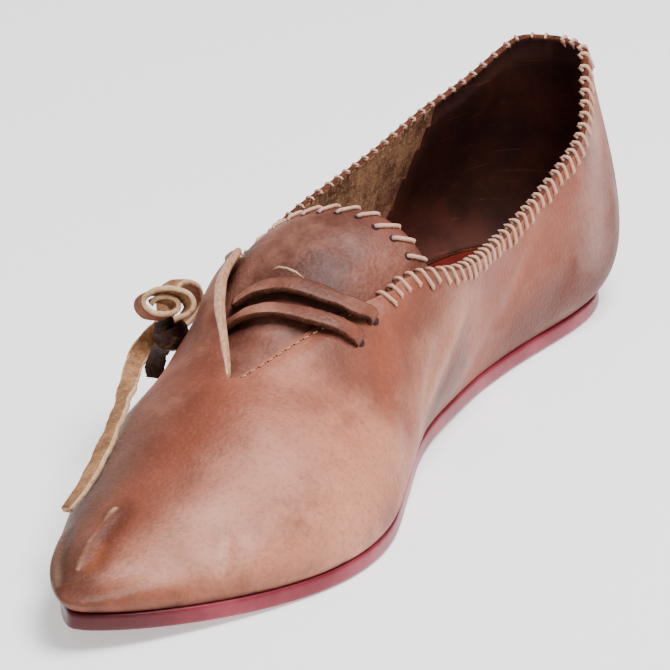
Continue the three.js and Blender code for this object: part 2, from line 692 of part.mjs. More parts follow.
function buildKnot() {
  const ball = new THREE.SphereGeometry(1, 14, 9);
  ball.deleteAttribute('normal');
  ball.deleteAttribute('uv');
  const merged = mergeVertices(ball);
  merged.scale(...KNOT.radius);
  const centre = place(KNOT.centre);
  return merged.translate(centre.x, centre.y, centre.z);
}

const kernel = (geometry) => {
  const merged = mergeVertices(geometry);
  return new wasm.Manifold(new wasm.Mesh({
    numProp: 3,
    vertProperties: merged.getAttribute('position').array,
    triVerts: Uint32Array.from(merged.getIndex().array),
  }));
};

function fromKernel(body) {
  const mesh = body.getMesh();
  const geometry = new THREE.BufferGeometry();
  geometry.setAttribute('position', new THREE.BufferAttribute(Float32Array.from(mesh.vertProperties), 3));
  geometry.setIndex([...mesh.triVerts]);
  return geometry;
}

// Slots that the thong passes through, cut square to the leather
function cutHoles(upper) {
  const DEPTH = 10;
  let body = kernel(upper);
  const cut = (side, { at, share }) => {
    const spot = upperSpot(side, at, share);
    const wide = spot.forward.clone().addScaledVector(spot.out, -spot.forward.dot(spot.out)).normalize();
    const third = new THREE.Vector3().crossVectors(spot.out, wide);
    const slot = new THREE.BoxGeometry(THONG_HOLE_LENGTH, THONG_HOLE_WIDTH, DEPTH);
    slot.deleteAttribute('normal');
    slot.deleteAttribute('uv');
    const turn = new THREE.Matrix4().makeBasis(wide, third, spot.out).setPosition(spot.point);
    slot.applyMatrix4(turn);
    body = body.subtract(kernel(slot));
  };
  MEDIAL_HOLES.forEach((hole) => cut('medial', hole));
  LATERAL_HOLES.forEach((hole) => cut('lateral', hole));
  return fromKernel(body);
}

const material = (color, roughness) => new THREE.MeshStandardMaterial({ color, roughness, metalness: 0 });
const LEATHER = material(0xa0674f, 0.5);
const THONG = material(0xa5705a, 0.7);

const shoe = new THREE.Group();
const loose = new THREE.Group();
const add = (group, name, geometry, look) => {
  const mesh = new THREE.Mesh(geometry, look);
  mesh.name = name;
  group.add(mesh);
};
add(shoe, 'outsole', buildOutsole(), material(0x8e3a44, 0.45));
add(shoe, 'insole', buildInsole(), material(0x8a2a20, 0.4));
add(shoe, 'upper', cutHoles(buildUpper()), LEATHER);
add(shoe, 'tongue', buildTongue(), LEATHER);
add(shoe, 'lace_bar_back', buildBar(MEDIAL_HOLES[0], LATERAL_HOLES[0]), THONG);
add(shoe, 'lace_bar_front', buildBar(MEDIAL_HOLES[1], LATERAL_HOLES[1]), THONG);
add(loose, 'lace_knot', buildKnot(), THONG);
// The hanging end faces forward and inward at the knot, and turns up where it lies on the vamp
const FORWARD_FACE = new THREE.Vector3(0.4, -0.82, 0.41);
const VAMP_FACE = new THREE.Vector3(-0.25, -0.64, 0.73);
const crossFace = (centre, run) => (
  FORWARD_FACE.clone().lerp(VAMP_FACE, smooth(165, 195, -centre.y)).cross(run));
const sideways = () => new THREE.Vector3(1, 0, 0.2);
add(loose, 'lace_front_loop', buildThong(frontLoopRoute(), 44, () => LOOP_AXIS.clone()), THONG);
add(loose, 'lace_back_loop', buildThong(BACK_LOOP.map(place), 24, sideways), THONG);
add(loose, 'lace_hanging_end', buildThong(HANGING_END.map(place), 30, crossFace), THONG);
add(loose, 'lace_short_end', buildThong(SHORT_END.map(place), 8, crossFace), THONG);

// The origin is under the middle of the shoe, on the floor, measured without the loose thong
const box = new THREE.Box3().setFromObject(shoe);
const middle = box.getCenter(new THREE.Vector3());
shoe.add(loose);
shoe.position.set(-middle.x, -middle.y, -box.min.z);
shoe.updateMatrixWorld(true);

export default shoe;
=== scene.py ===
"""Looks of a turned leather shoe for the right foot, in metres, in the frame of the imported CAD.

The upper, tongue and thong follow the same named sizes and tables as the CAD source, at a finer step, and
get their creases, seams, stitches and finishes here.
"""

import bpy
import numpy as np
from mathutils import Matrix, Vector


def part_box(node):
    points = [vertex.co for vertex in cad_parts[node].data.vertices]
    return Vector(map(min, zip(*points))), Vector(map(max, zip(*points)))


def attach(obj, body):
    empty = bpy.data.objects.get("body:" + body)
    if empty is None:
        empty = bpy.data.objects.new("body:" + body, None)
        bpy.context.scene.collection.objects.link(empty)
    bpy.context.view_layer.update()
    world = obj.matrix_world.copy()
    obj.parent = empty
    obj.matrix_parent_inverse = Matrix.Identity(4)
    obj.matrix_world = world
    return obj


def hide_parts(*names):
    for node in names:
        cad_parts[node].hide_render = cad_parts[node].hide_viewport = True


MM = 0.001

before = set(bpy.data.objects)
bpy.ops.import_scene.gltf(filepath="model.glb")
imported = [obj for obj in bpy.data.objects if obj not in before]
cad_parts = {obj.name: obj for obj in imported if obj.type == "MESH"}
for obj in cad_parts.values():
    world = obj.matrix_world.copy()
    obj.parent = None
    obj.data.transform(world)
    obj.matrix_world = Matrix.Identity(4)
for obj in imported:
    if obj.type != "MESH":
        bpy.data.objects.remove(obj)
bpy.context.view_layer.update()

# Driving sizes, in millimetres, as in the CAD source
SOLE_LENGTH = 265
BALL_WIDTH = 76
HEEL_WIDTH = 52
SOLE_THICKNESS = 4.5
ARCH_RISE = 0.8
TOE_SPRING = 5.6
HEEL_HEIGHT = 60
THROAT_HEIGHT = 45
INSTEP_HEIGHT = 35.5
UPPER_WALL = 1.8
FEATHER_INSET = 0.8
INSOLE_THICKNESS = 1.8
TONGUE_THICKNESS = 1.6
TONGUE_MEDIAL_LAP = 5
TONGUE_LATERAL_LAP = 9
FLAP_LIFT = 5
FLAP_LIFT_REACH = 20
THONG_WIDTH = 4.8
THONG_THICKNESS = 1.6
FIT_GAP = 0.3

SLIT_POINT_AT = 0.68
SIDES = ("medial", "lateral")

# Sole outline: share of the length, then edges as shares of the width there
OUTLINE = [
    # at, medial, lateral
    (0, 0.038, 0.038),
    (0.012, 0.235, -0.158),
    (0.04, 0.385, -0.327),
    (0.09, 0.49, -0.452),
    (0.16, 0.481, -0.51),
    (0.26, 0.413, -0.519),
    (0.37, 0.386, -0.5),
    (0.47, 0.357, -0.445),
    (0.57, 0.428, -0.447),
    (0.66, 0.526, -0.474),
    (0.75, 0.526, -0.441),
    (0.83, 0.424, -0.362),
    (0.91, 0.263, -0.243),
    (0.96, 0.138, -0.151),
    (0.988, 0.046, -0.086),
    (1, -0.033, -0.033),
]

# Ribs of the upper, as in the CAD source: station, then these columns; a pair is medial and lateral
RIB_COLUMNS = ("along", "side", "height", "bulge", "rise", "spread", "drop")
RIBS = [
    (0, -0.004, 0.038, 1.125, 0.308, 0.2, 0.096, 0.367),
    (0.014, -0.002, (0.14, -0.064), 1.116, 0.304, 0.2, 0.09, 0.368),
    (0.05, 0.015, (0.25, -0.173), 1.084, 0.288, 0.202, 0.077, 0.37),
    (0.12, 0.075, (0.375, -0.308), 1.002, 0.231, 0.209, 0.058, 0.348),
    (0.22, 0.181, (0.433, -0.423), 0.977, 0.135, 0.228, 0.048, 0.304),
    (0.32, 0.294, (0.468, -0.515), (0.948, 0.969), (0.095, 0.115), 0.25, 0.038, 0.25),
    (0.42, 0.4, (0.403, -0.468), 1.095, 0.113, 0.265, (0.097, 0.065), 0.31),
    (0.5, 0.491, (0.194, -0.306), 1.197, (0.111, 0.097), 0.274, (0.194, 0.139), 0.228),
    (0.58, 0.589, (0.039, -0.132), 1.158, (0.105, 0.092), 0.28, (0.263, 0.237), (0.102, 0.127)),
    (0.68, 0.694, -0.02, 1, (0.105, 0.086), 0.282, (0.316, 0.289), 0.014),
    (0.78, 0.792, -0.034, 0.746, (0.092, 0.072), 0.254, (0.289, 0.237), 0),
    (0.87, 0.872, -0.042, 0.519, (0.066, 0.079), 0.225, 0.158, 0),
    (0.94, 0.936, -0.046, 0.322, (0.053, 0.118), 0.197, (0.066, 0.092), 0),
    (1, 0.97, -0.053, 0.166, 0.092, 0.141, 0.039, 0.014),
]

# Collar line: along the foot, then heights as shares of the fall from heel height to throat height
COLLAR = [
    # at, medial, lateral
    (-0.011, 1.005, 1.005),
    (0.008, 1.003, 1.003),
    (0.057, 0.86, 0.926),
    (0.132, 0.77, 0.884),
    (0.226, 0.727, 0.836),
    (0.321, 0.75, 0.823),
    (0.375, 0.8, 0.787),
    (0.425, 0.878, 0.765),
    (0.475, 0.985, 0.875),
    (0.51, 1, 1.02),
    (0.536, 1, 1.08),
    (0.6, 1.2, 1.2),
]

SLIT_CORNER = {
    # at, side, reach
    "medial": (0.532, 0.23, 0.026),
    "lateral": (0.517, -0.29, 0.015),
}

# Stations along the foot: the width grows, the arch rises, the toe springs up, the quarter ends, the two
# sides' spines join, and the flap lifts and lies down again
WIDTH_SPAN = (0.3, 0.57)
ARCH_START, ARCH_LENGTH = 0.27, 0.3
SPRING_START, SPRING_LENGTH = 0.77, 0.23
QUARTER_END = 0.45
JOIN_START = 0.6
FLAP_RISE_SPAN = (0.5, 0.59)
FLAP_FALL_SPAN = (0.605, 0.695)

# Steps at which directions are taken: in the outline's key, along the spine, and along the foot
KEY_STEP = 0.01
SPINE_STEP = 0.004
SPOT_STEP = 0.01

# Where a rib's foot and spine lie closer than this, its top leans straight out of the sole's edge
LEAN_REACH = 15
# Each rib is scanned for its rim in these steps, from the start on, and the step is then halved this often
SCAN_STEPS = 60
SCAN_START = 12
HALVINGS = 18


def smooth(start, end, value):
    share = np.clip((value - start) / (end - start), 0, 1)
    return share * share * (3 - 2 * share)


def lerp(low, high, share):
    return low + (high - low) * share


def unit(vectors):
    return vectors / np.maximum(np.linalg.norm(vectors, axis=-1, keepdims=True), 1e-12)


class Spline:
    """Natural cubic curve through the rows of a table."""

    def __init__(self, knots, values):
        self.knots = np.array(knots, float)
        self.values = np.array(values, float)
        count = len(knots)
        steps = np.diff(self.knots)
        matrix = np.eye(count)
        right = np.zeros(count)
        for i in range(1, count - 1):
            matrix[i, i - 1 : i + 2] = steps[i - 1], 2 * (steps[i - 1] + steps[i]), steps[i]
            slopes = np.diff(self.values)[i - 1 : i + 1] / steps[i - 1 : i + 1]
            right[i] = 6 * (slopes[1] - slopes[0])
        self.bend = np.linalg.solve(matrix, right)

    def __call__(self, at):
        at = np.asarray(at, float)
        i = np.clip(np.searchsorted(self.knots, at, side="left") - 1, 0, len(self.knots) - 2)
        step = self.knots[i + 1] - self.knots[i]
        low = (self.knots[i + 1] - at) / step
        high = (at - self.knots[i]) / step
        curve = (low**3 - low) * self.bend[i] + (high**3 - high) * self.bend[i + 1]
        return low * self.values[i] + high * self.values[i + 1] + curve * step * step / 6


def width_at(at):
    return lerp(HEEL_WIDTH, BALL_WIDTH, smooth(*WIDTH_SPAN, at))


def underside_at(at):
    on_arch = (at > ARCH_START) & (at < ARCH_START + ARCH_LENGTH)
    arch = np.where(on_arch, np.sin(np.pi * (at - ARCH_START) / ARCH_LENGTH) ** 2, 0)
    spring = np.maximum(0, (at - SPRING_START) / SPRING_LENGTH) ** 2
    return ARCH_RISE * arch + TOE_SPRING * spring


def sole_top_at(at):
    return underside_at(at) + SOLE_THICKNESS


def round_key(at):
    return np.arccos(1 - 2 * np.clip(at, 0, 1))


def side_curves(table, key=float):
    """A curve for each side through the second and third columns of a table."""
    knots = [float(key(row[0])) for row in table]
    return {side: Spline(knots, [row[k] for row in table]) for k, side in enumerate(SIDES, 1)}


OUTLINE_CURVE = side_curves(OUTLINE, round_key)
COLLAR_CURVE = side_curves(COLLAR)


def edge_point(side, key):
    at = (1 - np.cos(key)) / 2
    return np.stack([OUTLINE_CURVE[side](key) * width_at(at), -at * SOLE_LENGTH], -1)


def edge_at(side, at, inset):
    """Points on the sole's edge, moved in by inset, and the directions out of the sole there."""
    at = np.asarray(at, float)
    key = round_key(at)
    turn = 1 if side == "medial" else -1
    ahead = edge_point(side, np.minimum(key + KEY_STEP, np.pi))
    behind = edge_point(side, np.maximum(key - KEY_STEP, 0))
    run = unit(ahead - behind)
    out = np.stack([-turn * run[..., 1], turn * run[..., 0]], -1)
    out = np.where((at >= 1)[..., None], np.array([0, -1.0]), out)
    out = np.where((at <= 0)[..., None], np.array([0, 1.0]), out)
    return edge_point(side, key) - out * inset, out


def height_at(at):
    quarter = lerp(HEEL_HEIGHT, THROAT_HEIGHT, smooth(0, QUARTER_END, at))
    return lerp(quarter, INSTEP_HEIGHT, smooth(QUARTER_END, SLIT_POINT_AT, at))


def rib_curve(column, turn):
    values = [row[column] for row in RIBS]
    values = [value[turn] if isinstance(value, tuple) else value for value in values]
    return Spline([row[0] for row in RIBS], values)


RIB_CURVES = {
    side: {name: rib_curve(column, turn) for column, name in enumerate(RIB_COLUMNS, 1)}
    for turn, side in enumerate(SIDES)
}


def spine_at(side, at):
    def own(which):
        curves = RIB_CURVES[which]
        return np.stack(
            [
                curves["side"](at) * width_at(at),
                -curves["along"](at) * SOLE_LENGTH,
                sole_top_at(at) + curves["height"](at) * height_at(at),
            ],
            -1,
        )

    shared = (own("medial") + own("lateral")) / 2
    return lerp(own(side), shared, smooth(JOIN_START, SLIT_POINT_AT, at)[..., None])


def ribs_at(side, at):
    """Four control points of each rib, from the sole's edge to the spine: array of 4, stations, 3."""
    at = np.asarray(at, float)
    curves = RIB_CURVES[side]
    width = width_at(at)
    height = height_at(at)
    point, out = edge_at(side, at, FEATHER_INSET)
    foot = np.concatenate([point, (sole_top_at(at) + FIT_GAP)[..., None]], -1)
    spine = spine_at(side, at)
    bulge = (curves["bulge"](at) * width)[..., None]
    lower = foot + np.concatenate([out * bulge, (curves["rise"](at) * height)[..., None]], -1)
    lean = foot[..., :2] - spine[..., :2]
    distance = np.linalg.norm(lean, axis=-1, keepdims=True)
    lean = unit(lerp(unit(lean), out, 1 - np.minimum(distance / LEAN_REACH, 1)))
    spread = curves["spread"](at) * width
    ahead = spine_at(side, at + SPINE_STEP)
    behind = spine_at(side, at - SPINE_STEP)
    slope = (ahead[..., 2] - behind[..., 2]) / (ahead[..., 1] - behind[..., 1])
    follow = smooth(0.5, 0.6, at) * slope * lean[..., 1] * spread
    rise = follow - curves["drop"](at) * height
    upper = spine + np.concatenate([lean * spread[..., None], rise[..., None]], -1)
    return np.stack([foot, lower, upper, spine])


def bezier(control, share):
    """Points of cubic curves; share has the stations' shape, or one more axis for several on each."""
    share = np.asarray(share, float)
    if share.ndim == control.ndim - 1:
        control = control[:, :, None, :]
    t = share[..., None]
    a, b, c, d = control
    return (1 - t) ** 3 * a + 3 * (1 - t) ** 2 * t * b + 3 * (1 - t) * t * t * c + t**3 * d


def bezier_slope(control, share):
    t = np.asarray(share, float)[..., None]
    a, b, c, d = control
    return unit(3 * (1 - t) ** 2 * (b - a) + 6 * (1 - t) * t * (c - b) + 3 * t * t * (d - c))


def past_edge(side, points):
    """True where points of ribs have passed the collar line or the edge of the slit."""
    along = -points[..., 1] / SOLE_LENGTH
    corner_at, corner_side, reach = SLIT_CORNER[side]
    fall = lerp(HEEL_HEIGHT, THROAT_HEIGHT, along / 0.5)
    top = sole_top_at(along) + COLLAR_CURVE[side](along) * fall
    over_collar = (along < corner_at) & (points[..., 2] > top)
    tip = spine_at(side, np.array([SLIT_POINT_AT]))[0]
    tip_at = -tip[1] / SOLE_LENGTH
    share = (along - corner_at) / (tip_at - corner_at)
    slit_x = lerp(corner_side * BALL_WIDTH, tip[0], share)
    in_reach = (along >= corner_at - reach) & (along <= tip_at)
    beyond = points[..., 0] < slit_x if side == "medial" else points[..., 0] > slit_x
    return over_collar | (in_reach & beyond)


def edge_share(side, at):
    """Share of each rib at which it meets the collar or the slit."""
    at = np.asarray(at, float)
    control = ribs_at(side, at)
    scan = np.arange(SCAN_START, SCAN_STEPS + 1) / SCAN_STEPS
    past = past_edge(side, bezier(control, np.broadcast_to(scan, (at.size, scan.size))))
    first = past.argmax(1)
    found = past.any(1) & (at < SLIT_POINT_AT)
    high = scan[first]
    low = high - 1 / SCAN_STEPS
    for _ in range(HALVINGS):
        middle = (low + high) / 2
        inside = past_edge(side, bezier(control, middle))
        high = np.where(inside, middle, high)
        low = np.where(inside, low, middle)
    return np.where(found, low, 1.0)


LIFT_DIRECTION = np.array([-0.68, 0, 0.73])


def upper_grid(side, at, shares):
    """Outer face of the upper: array of stations, shares, 3. Share 0 is at the sole's edge."""
    at = np.atleast_1d(np.asarray(at, float))
    control = ribs_at(side, at)
    limit = edge_share(side, at)
    points = bezier(control, limit[:, None] * np.asarray(shares)[None, :])
    if side == "lateral":
        edge = bezier(control, limit)
        along = -edge[:, 1] / SOLE_LENGTH
        amount = FLAP_LIFT * (1 - smooth(*FLAP_FALL_SPAN, along)) * smooth(*FLAP_RISE_SPAN, along)
        distance = np.linalg.norm(points - edge[:, None, :], axis=-1)
        fade = 1 - smooth(0, FLAP_LIFT_REACH, distance)
        points = points + (amount[:, None] * fade)[..., None] * LIFT_DIRECTION
    return points


def upper_spot(side, at, share):
    """A place on the upper's outer face, the direction out of it and the one up its rib."""
    here = upper_grid(side, at, [share - SPOT_STEP, share, share + SPOT_STEP])[0]
    ahead = upper_grid(side, at + SPOT_STEP, [share])[0, 0]
    climb = here[2] - here[0]
    out = unit(np.cross(ahead - here[1], climb))
    return here[1], -out if side == "medial" else out, unit(climb)


# Tongue
TONGUE_TOP_AT = 0.46
TONGUE_FRONT_AT = 0.715
TONGUE_NOSE_LAP = 7
TONGUE_CLEARANCE = 0.5
TONGUE_FULLNESS = {"top": 0.56, "front": 0.38}


def tongue_foot(side, at):
    control = ribs_at(side, at)
    fine = bezier(control, np.broadcast_to(np.linspace(0, 1, 200), (at.size, 200)))
    length = np.linalg.norm(np.diff(fine, axis=1), axis=-1).sum(1)
    lap = TONGUE_MEDIAL_LAP if side == "medial" else TONGUE_LATERAL_LAP
    under = lerp(lap, TONGUE_NOSE_LAP, smooth(SLIT_POINT_AT - 0.06, SLIT_POINT_AT, at))
    share = edge_share(side, at) - under / length
    point = bezier(control, share)
    climb = bezier_slope(control, share)
    forward = bezier(ribs_at(side, at + SPOT_STEP), share) - point
    out = unit(np.cross(climb, forward))
    out = np.where(out[:, 2:] < 0, -out, out)
    nose = TONGUE_CLEARANCE * smooth(SLIT_POINT_AT - 0.04, SLIT_POINT_AT, at)
    return point - out * (UPPER_WALL + FIT_GAP + TONGUE_CLEARANCE + nose)[:, None], climb


def tongue_sections(at):
    at = np.atleast_1d(np.asarray(at, float))
    medial, medial_climb = tongue_foot("medial", at)
    lateral, lateral_climb = tongue_foot("lateral", at)
    share = smooth(0.44, SLIT_POINT_AT, at)
    fullness = lerp(TONGUE_FULLNESS["top"], TONGUE_FULLNESS["front"], share)
    reach = np.linalg.norm(medial - lateral, axis=-1, keepdims=True) * fullness[:, None]
    return np.stack([lateral, lateral + lateral_climb * reach, medial + medial_climb * reach, medial])


def tongue_spot(at, across):
    """A place on the tongue's outer face, and the direction out of it."""
    section = tongue_sections(at)
    ahead = tongue_sections(at + SPOT_STEP)
    place = np.array([across])
    point = bezier(section, place)[0]
    forward = unit(bezier(ahead, place)[0] - point)
    out = unit(np.cross(forward, bezier_slope(section, place)[0]))
    return point, -out if out[2] < 0 else out


# The shared frame's origin lies under the middle of the shoe: the CAD outsole tells where that is
OUTSOLE_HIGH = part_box("outsole")[1]
fine_edge, _ = edge_at("medial", np.linspace(0, 1, 400), 0)
SHIFT = np.array([OUTSOLE_HIGH.x / MM - fine_edge[:, 0].max(), OUTSOLE_HIGH.y / MM, 0])


def to_frame(points):
    return (np.asarray(points, float) + SHIFT) * MM


def ring_faces(rings, size, start=0):
    """Quads between closed rings of points, which follow each other from a first point."""
    faces = []
    for first in range(start, start + (rings - 1) * size, size):
        for k in range(size):
            a, b = first + k, first + (k + 1) % size
            faces.append([a, b, b + size, a + size])
    return faces


def turned(faces):
    """The same faces seen from their other side."""
    return [face[:1] + face[:0:-1] for face in faces]


def add_object(name, data):
    made = bpy.data.objects.new(name, data)
    bpy.context.scene.collection.objects.link(made)
    return made


def new_mesh(name, points, faces, materials, indices=None):
    """A mesh piece from points in millimetres, which rides on the shoe's body."""
    mesh = bpy.data.meshes.new(name)
    mesh.from_pydata(to_frame(points).tolist(), [], [list(map(int, f)) for f in faces])
    for item in materials:
        mesh.materials.append(item)
    if indices is not None:
        mesh.polygons.foreach_set("material_index", np.asarray(indices, np.int32))
    mesh.polygons.foreach_set("use_smooth", np.full(len(mesh.polygons), True))
    mesh.validate()
    mesh.update()
    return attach(add_object(name, mesh), "root")


# Camera: the photo's own viewpoint, with a longer lens that frames the one shoe
CAMERA_PLACE = Vector((0.8762, -1.7802, 0.9036))
CAMERA_AIM = Vector((-0.0065, 0.0102, 0.0256))
camera_data = bpy.data.cameras.new("camera")
camera_data.lens = 460
camera_data.sensor_width = 36
camera_data.clip_end = 20
camera = add_object("camera", camera_data)
camera.location = CAMERA_PLACE
camera.rotation_euler = (CAMERA_AIM - CAMERA_PLACE).to_track_quat("-Z", "Y").to_euler()
bpy.context.scene.camera = camera


# Materials
def srgb(text):
    """Linear colour from a six-digit hexadecimal one."""
    parts = [int(text[k : k + 2], 16) / 255 for k in (0, 2, 4)]
    return tuple(p / 12.92 if p <= 0.04045 else ((p + 0.055) / 1.055) ** 2.4 for p in parts) + (1,)


BORDER_BLUR = 0.2


class Look:
    """A procedural material on object coordinates."""

    def __init__(self, name):
        self.material = bpy.data.materials.new(name)
        self.material.use_nodes = True
        self.tree = self.material.node_tree
        self.shader = self.tree.nodes["Principled BSDF"]
        self.where = self.tree.nodes.new("ShaderNodeTexCoord").outputs["Object"]

    def node(self, kind, inputs=None, **settings):
        made = self.tree.nodes.new(kind)
        for key, value in settings.items():
            setattr(made, key, value)
        for key, value in (inputs or {}).items():
            self.put(made.inputs[key], value)
        return made

    def put(self, socket, value):
        """Link a socket to another one, or give it a value; text is a hexadecimal colour."""
        if isinstance(value, bpy.types.NodeSocket):
            self.tree.links.new(value, socket)
        else:
            socket.default_value = srgb(value) if isinstance(value, str) else value

    def stretch(self, scale):
        return self.node("ShaderNodeMapping", {"Vector": self.where, "Scale": scale}).outputs["Vector"]

    def noise(self, scale, detail=2, rough=0.5, where=None, distortion=0):
        inputs = {"Vector": where or self.where, "Scale": scale, "Detail": detail}
        inputs.update(Roughness=rough, Distortion=distortion)
        return self.node("ShaderNodeTexNoise", inputs).outputs["Fac"]

    def cells(self, scale):
        inputs = {"Vector": self.where, "Scale": scale}
        return self.node("ShaderNodeTexVoronoi", inputs, feature="SMOOTH_F1").outputs["Distance"]

    def span(self, value, low, high, to_low=0.0, to_high=1.0):
        """A value's way from low to high, eased at both ends, as a way between two other values."""
        inputs = {"Value": value, "From Min": low, "From Max": high, "To Min": to_low, "To Max": to_high}
        return self.node("ShaderNodeMapRange", inputs, interpolation_type="SMOOTHSTEP").outputs["Result"]

    def mix(self, share, low, high):
        return self.node("ShaderNodeMix", {0: share, 6: low, 7: high}, data_type="RGBA").outputs[2]

    def math(self, operation, first, second):
        return self.node("ShaderNodeMath", {0: first, 1: second}, operation=operation).outputs[0]

    def vector(self, operation, first, second, output="Vector"):
        inputs = {0: first, "Scale" if operation == "SCALE" else 1: second}
        return self.node("ShaderNodeVectorMath", inputs, operation=operation).outputs[output]

    def line(self, start, end):
        """Distance to a line of the shoe, given in millimetres, and the share along it."""
        start, run = to_frame(start), to_frame(end) - to_frame(start)
        offset = self.vector("SUBTRACT", self.where, tuple(start))
        share = self.vector("DOT_PRODUCT", offset, tuple(run / max(run.dot(run), 1e-9)), "Value")
        share = self.math("MINIMUM", self.math("MAXIMUM", share, 0.0), 1.0)
        along = self.vector("SCALE", tuple(run), share)
        return self.vector("DISTANCE", offset, along, "Value"), share

    def near(self, start, end, radius, ragged=1.0):
        """One on a line of the shoe and none past the radius, both in millimetres."""
        distance, _ = self.line(start, end)
        return self.span(self.math("MULTIPLY", distance, ragged), 0, radius * MM, 1, 0)

    def border(self, places, widths):
        """One within a changing width of a chain of places, with a sharp edge."""
        total = 0.0
        for k in range(len(places) - 1):
            distance, share = self.line(places[k], places[k + 1])
            width = self.span(share, 0, 1, widths[k] * MM, widths[k + 1] * MM)
            past = self.math("SUBTRACT", distance, width)
            inside = self.span(past, -BORDER_BLUR * MM, BORDER_BLUR * MM, 1, 0)
            total = self.math("MAXIMUM", inside, total)
        return total

    def bump(self, height, strength, distance, before=None):
        inputs = {"Height": height, "Strength": strength, "Distance": distance * MM}
        if before is not None:
            inputs["Normal"] = before
        return self.node("ShaderNodeBump", inputs).outputs["Normal"]

    def finish(self, **sockets):
        names = {
            "color": "Base Color",
            "rough": "Roughness",
            "normal": "Normal",
            "coat": "Coat Weight",
            "coat_rough": "Coat Roughness",
            "specular": "Specular IOR Level",
            "glow": "Emission Strength",
        }
        for key, value in sockets.items():
            self.put(self.shader.inputs[names[key]], value)
        return self.material


def grain_leather(name, base, light, dark, stains_and_shading=(), border=()):
    """Pebbled, semi-gloss leather with soft colour patches; the listed patches are mostly painted shade
    and painted highlight.
    """
    look = Look(name)
    broad = look.noise(22, 3, 0.55, distortion=0.4)
    color = look.mix(look.span(broad, 0.35, 0.65), dark, base)
    mottle = look.noise(95, 5, 0.65, distortion=0.8)
    color = look.mix(look.span(mottle, 0.48, 0.72, 0, 0.3), color, dark)
    wash = look.noise(38, 4, 0.6)
    color = look.mix(look.span(wash, 0.46, 0.72, 0, 0.65), color, light)
    ragged = look.span(look.noise(130, 3, 0.6), 0.3, 0.7, 0.8, 1.3)
    # the listed patches, mostly painted shade and painted highlight with some real colour, blend in here
    for start, end, radius, tint, amount in stains_and_shading:
        reach = look.near(upper_place(*start), upper_place(*end), radius, ragged)
        color = look.mix(look.math("MULTIPLY", reach, amount), color, tint)
    speckle = look.noise(760, 3, 0.65)
    color = look.mix(look.span(speckle, 0.45, 0.72, 0, 0.3), color, dark)
    color = look.mix(look.span(speckle, 0.48, 0.28, 0, 0.08), color, light)
    if border:
        places = [upper_place(at, -1e-6) for at, _ in border]
        edge = look.border(places, [width for _, width in border])
        fuzz = look.span(look.noise(900, 4, 0.7), 0.35, 0.7)
        color = look.mix(edge, color, look.mix(fuzz, "B8866C", "DCB498"))
    pebble = look.cells(1050)
    pores = look.noise(1500, 3, 0.6)
    wrinkle = look.noise(160, 4, 0.65, distortion=1.2)
    normal = look.bump(look.span(pebble, 0.0, 0.8), 0.4, 0.25)
    normal = look.bump(pores, 0.25, 0.12, normal)
    normal = look.bump(wrinkle, 0.2, 0.35, normal)
    rough = look.span(look.noise(70, 4, 0.6), 0.3, 0.7, 0.44, 0.58)
    return look.finish(color=color, normal=normal, rough=rough, coat=0.03, coat_rough=0.35, specular=0.22)


def flesh_leather(name, base, light, dark, scale=1.0):
    """Raw, fuzzy inner side of leather."""
    look = Look(name)
    blotch = look.noise(120 * scale, 5, 0.7)
    fibre = look.noise(900 * scale, 5, 0.7, distortion=0.8)
    color = look.mix(look.span(blotch, 0.35, 0.68), dark, base)
    color = look.mix(look.span(fibre, 0.45, 0.75, 0, 0.6), color, light)
    normal = look.bump(fibre, 0.8, 0.5)
    normal = look.bump(blotch, 0.5, 0.6, normal)
    return look.finish(color=color, normal=normal, rough=0.9, specular=0.12)


def upper_place(at, cross):
    """Point of the upper; cross is 0 at the spine or rim and 1 at the sole, plus on the medial side."""
    return upper_spot("medial" if cross > 0 else "lateral", at, 1 - abs(cross))[0]
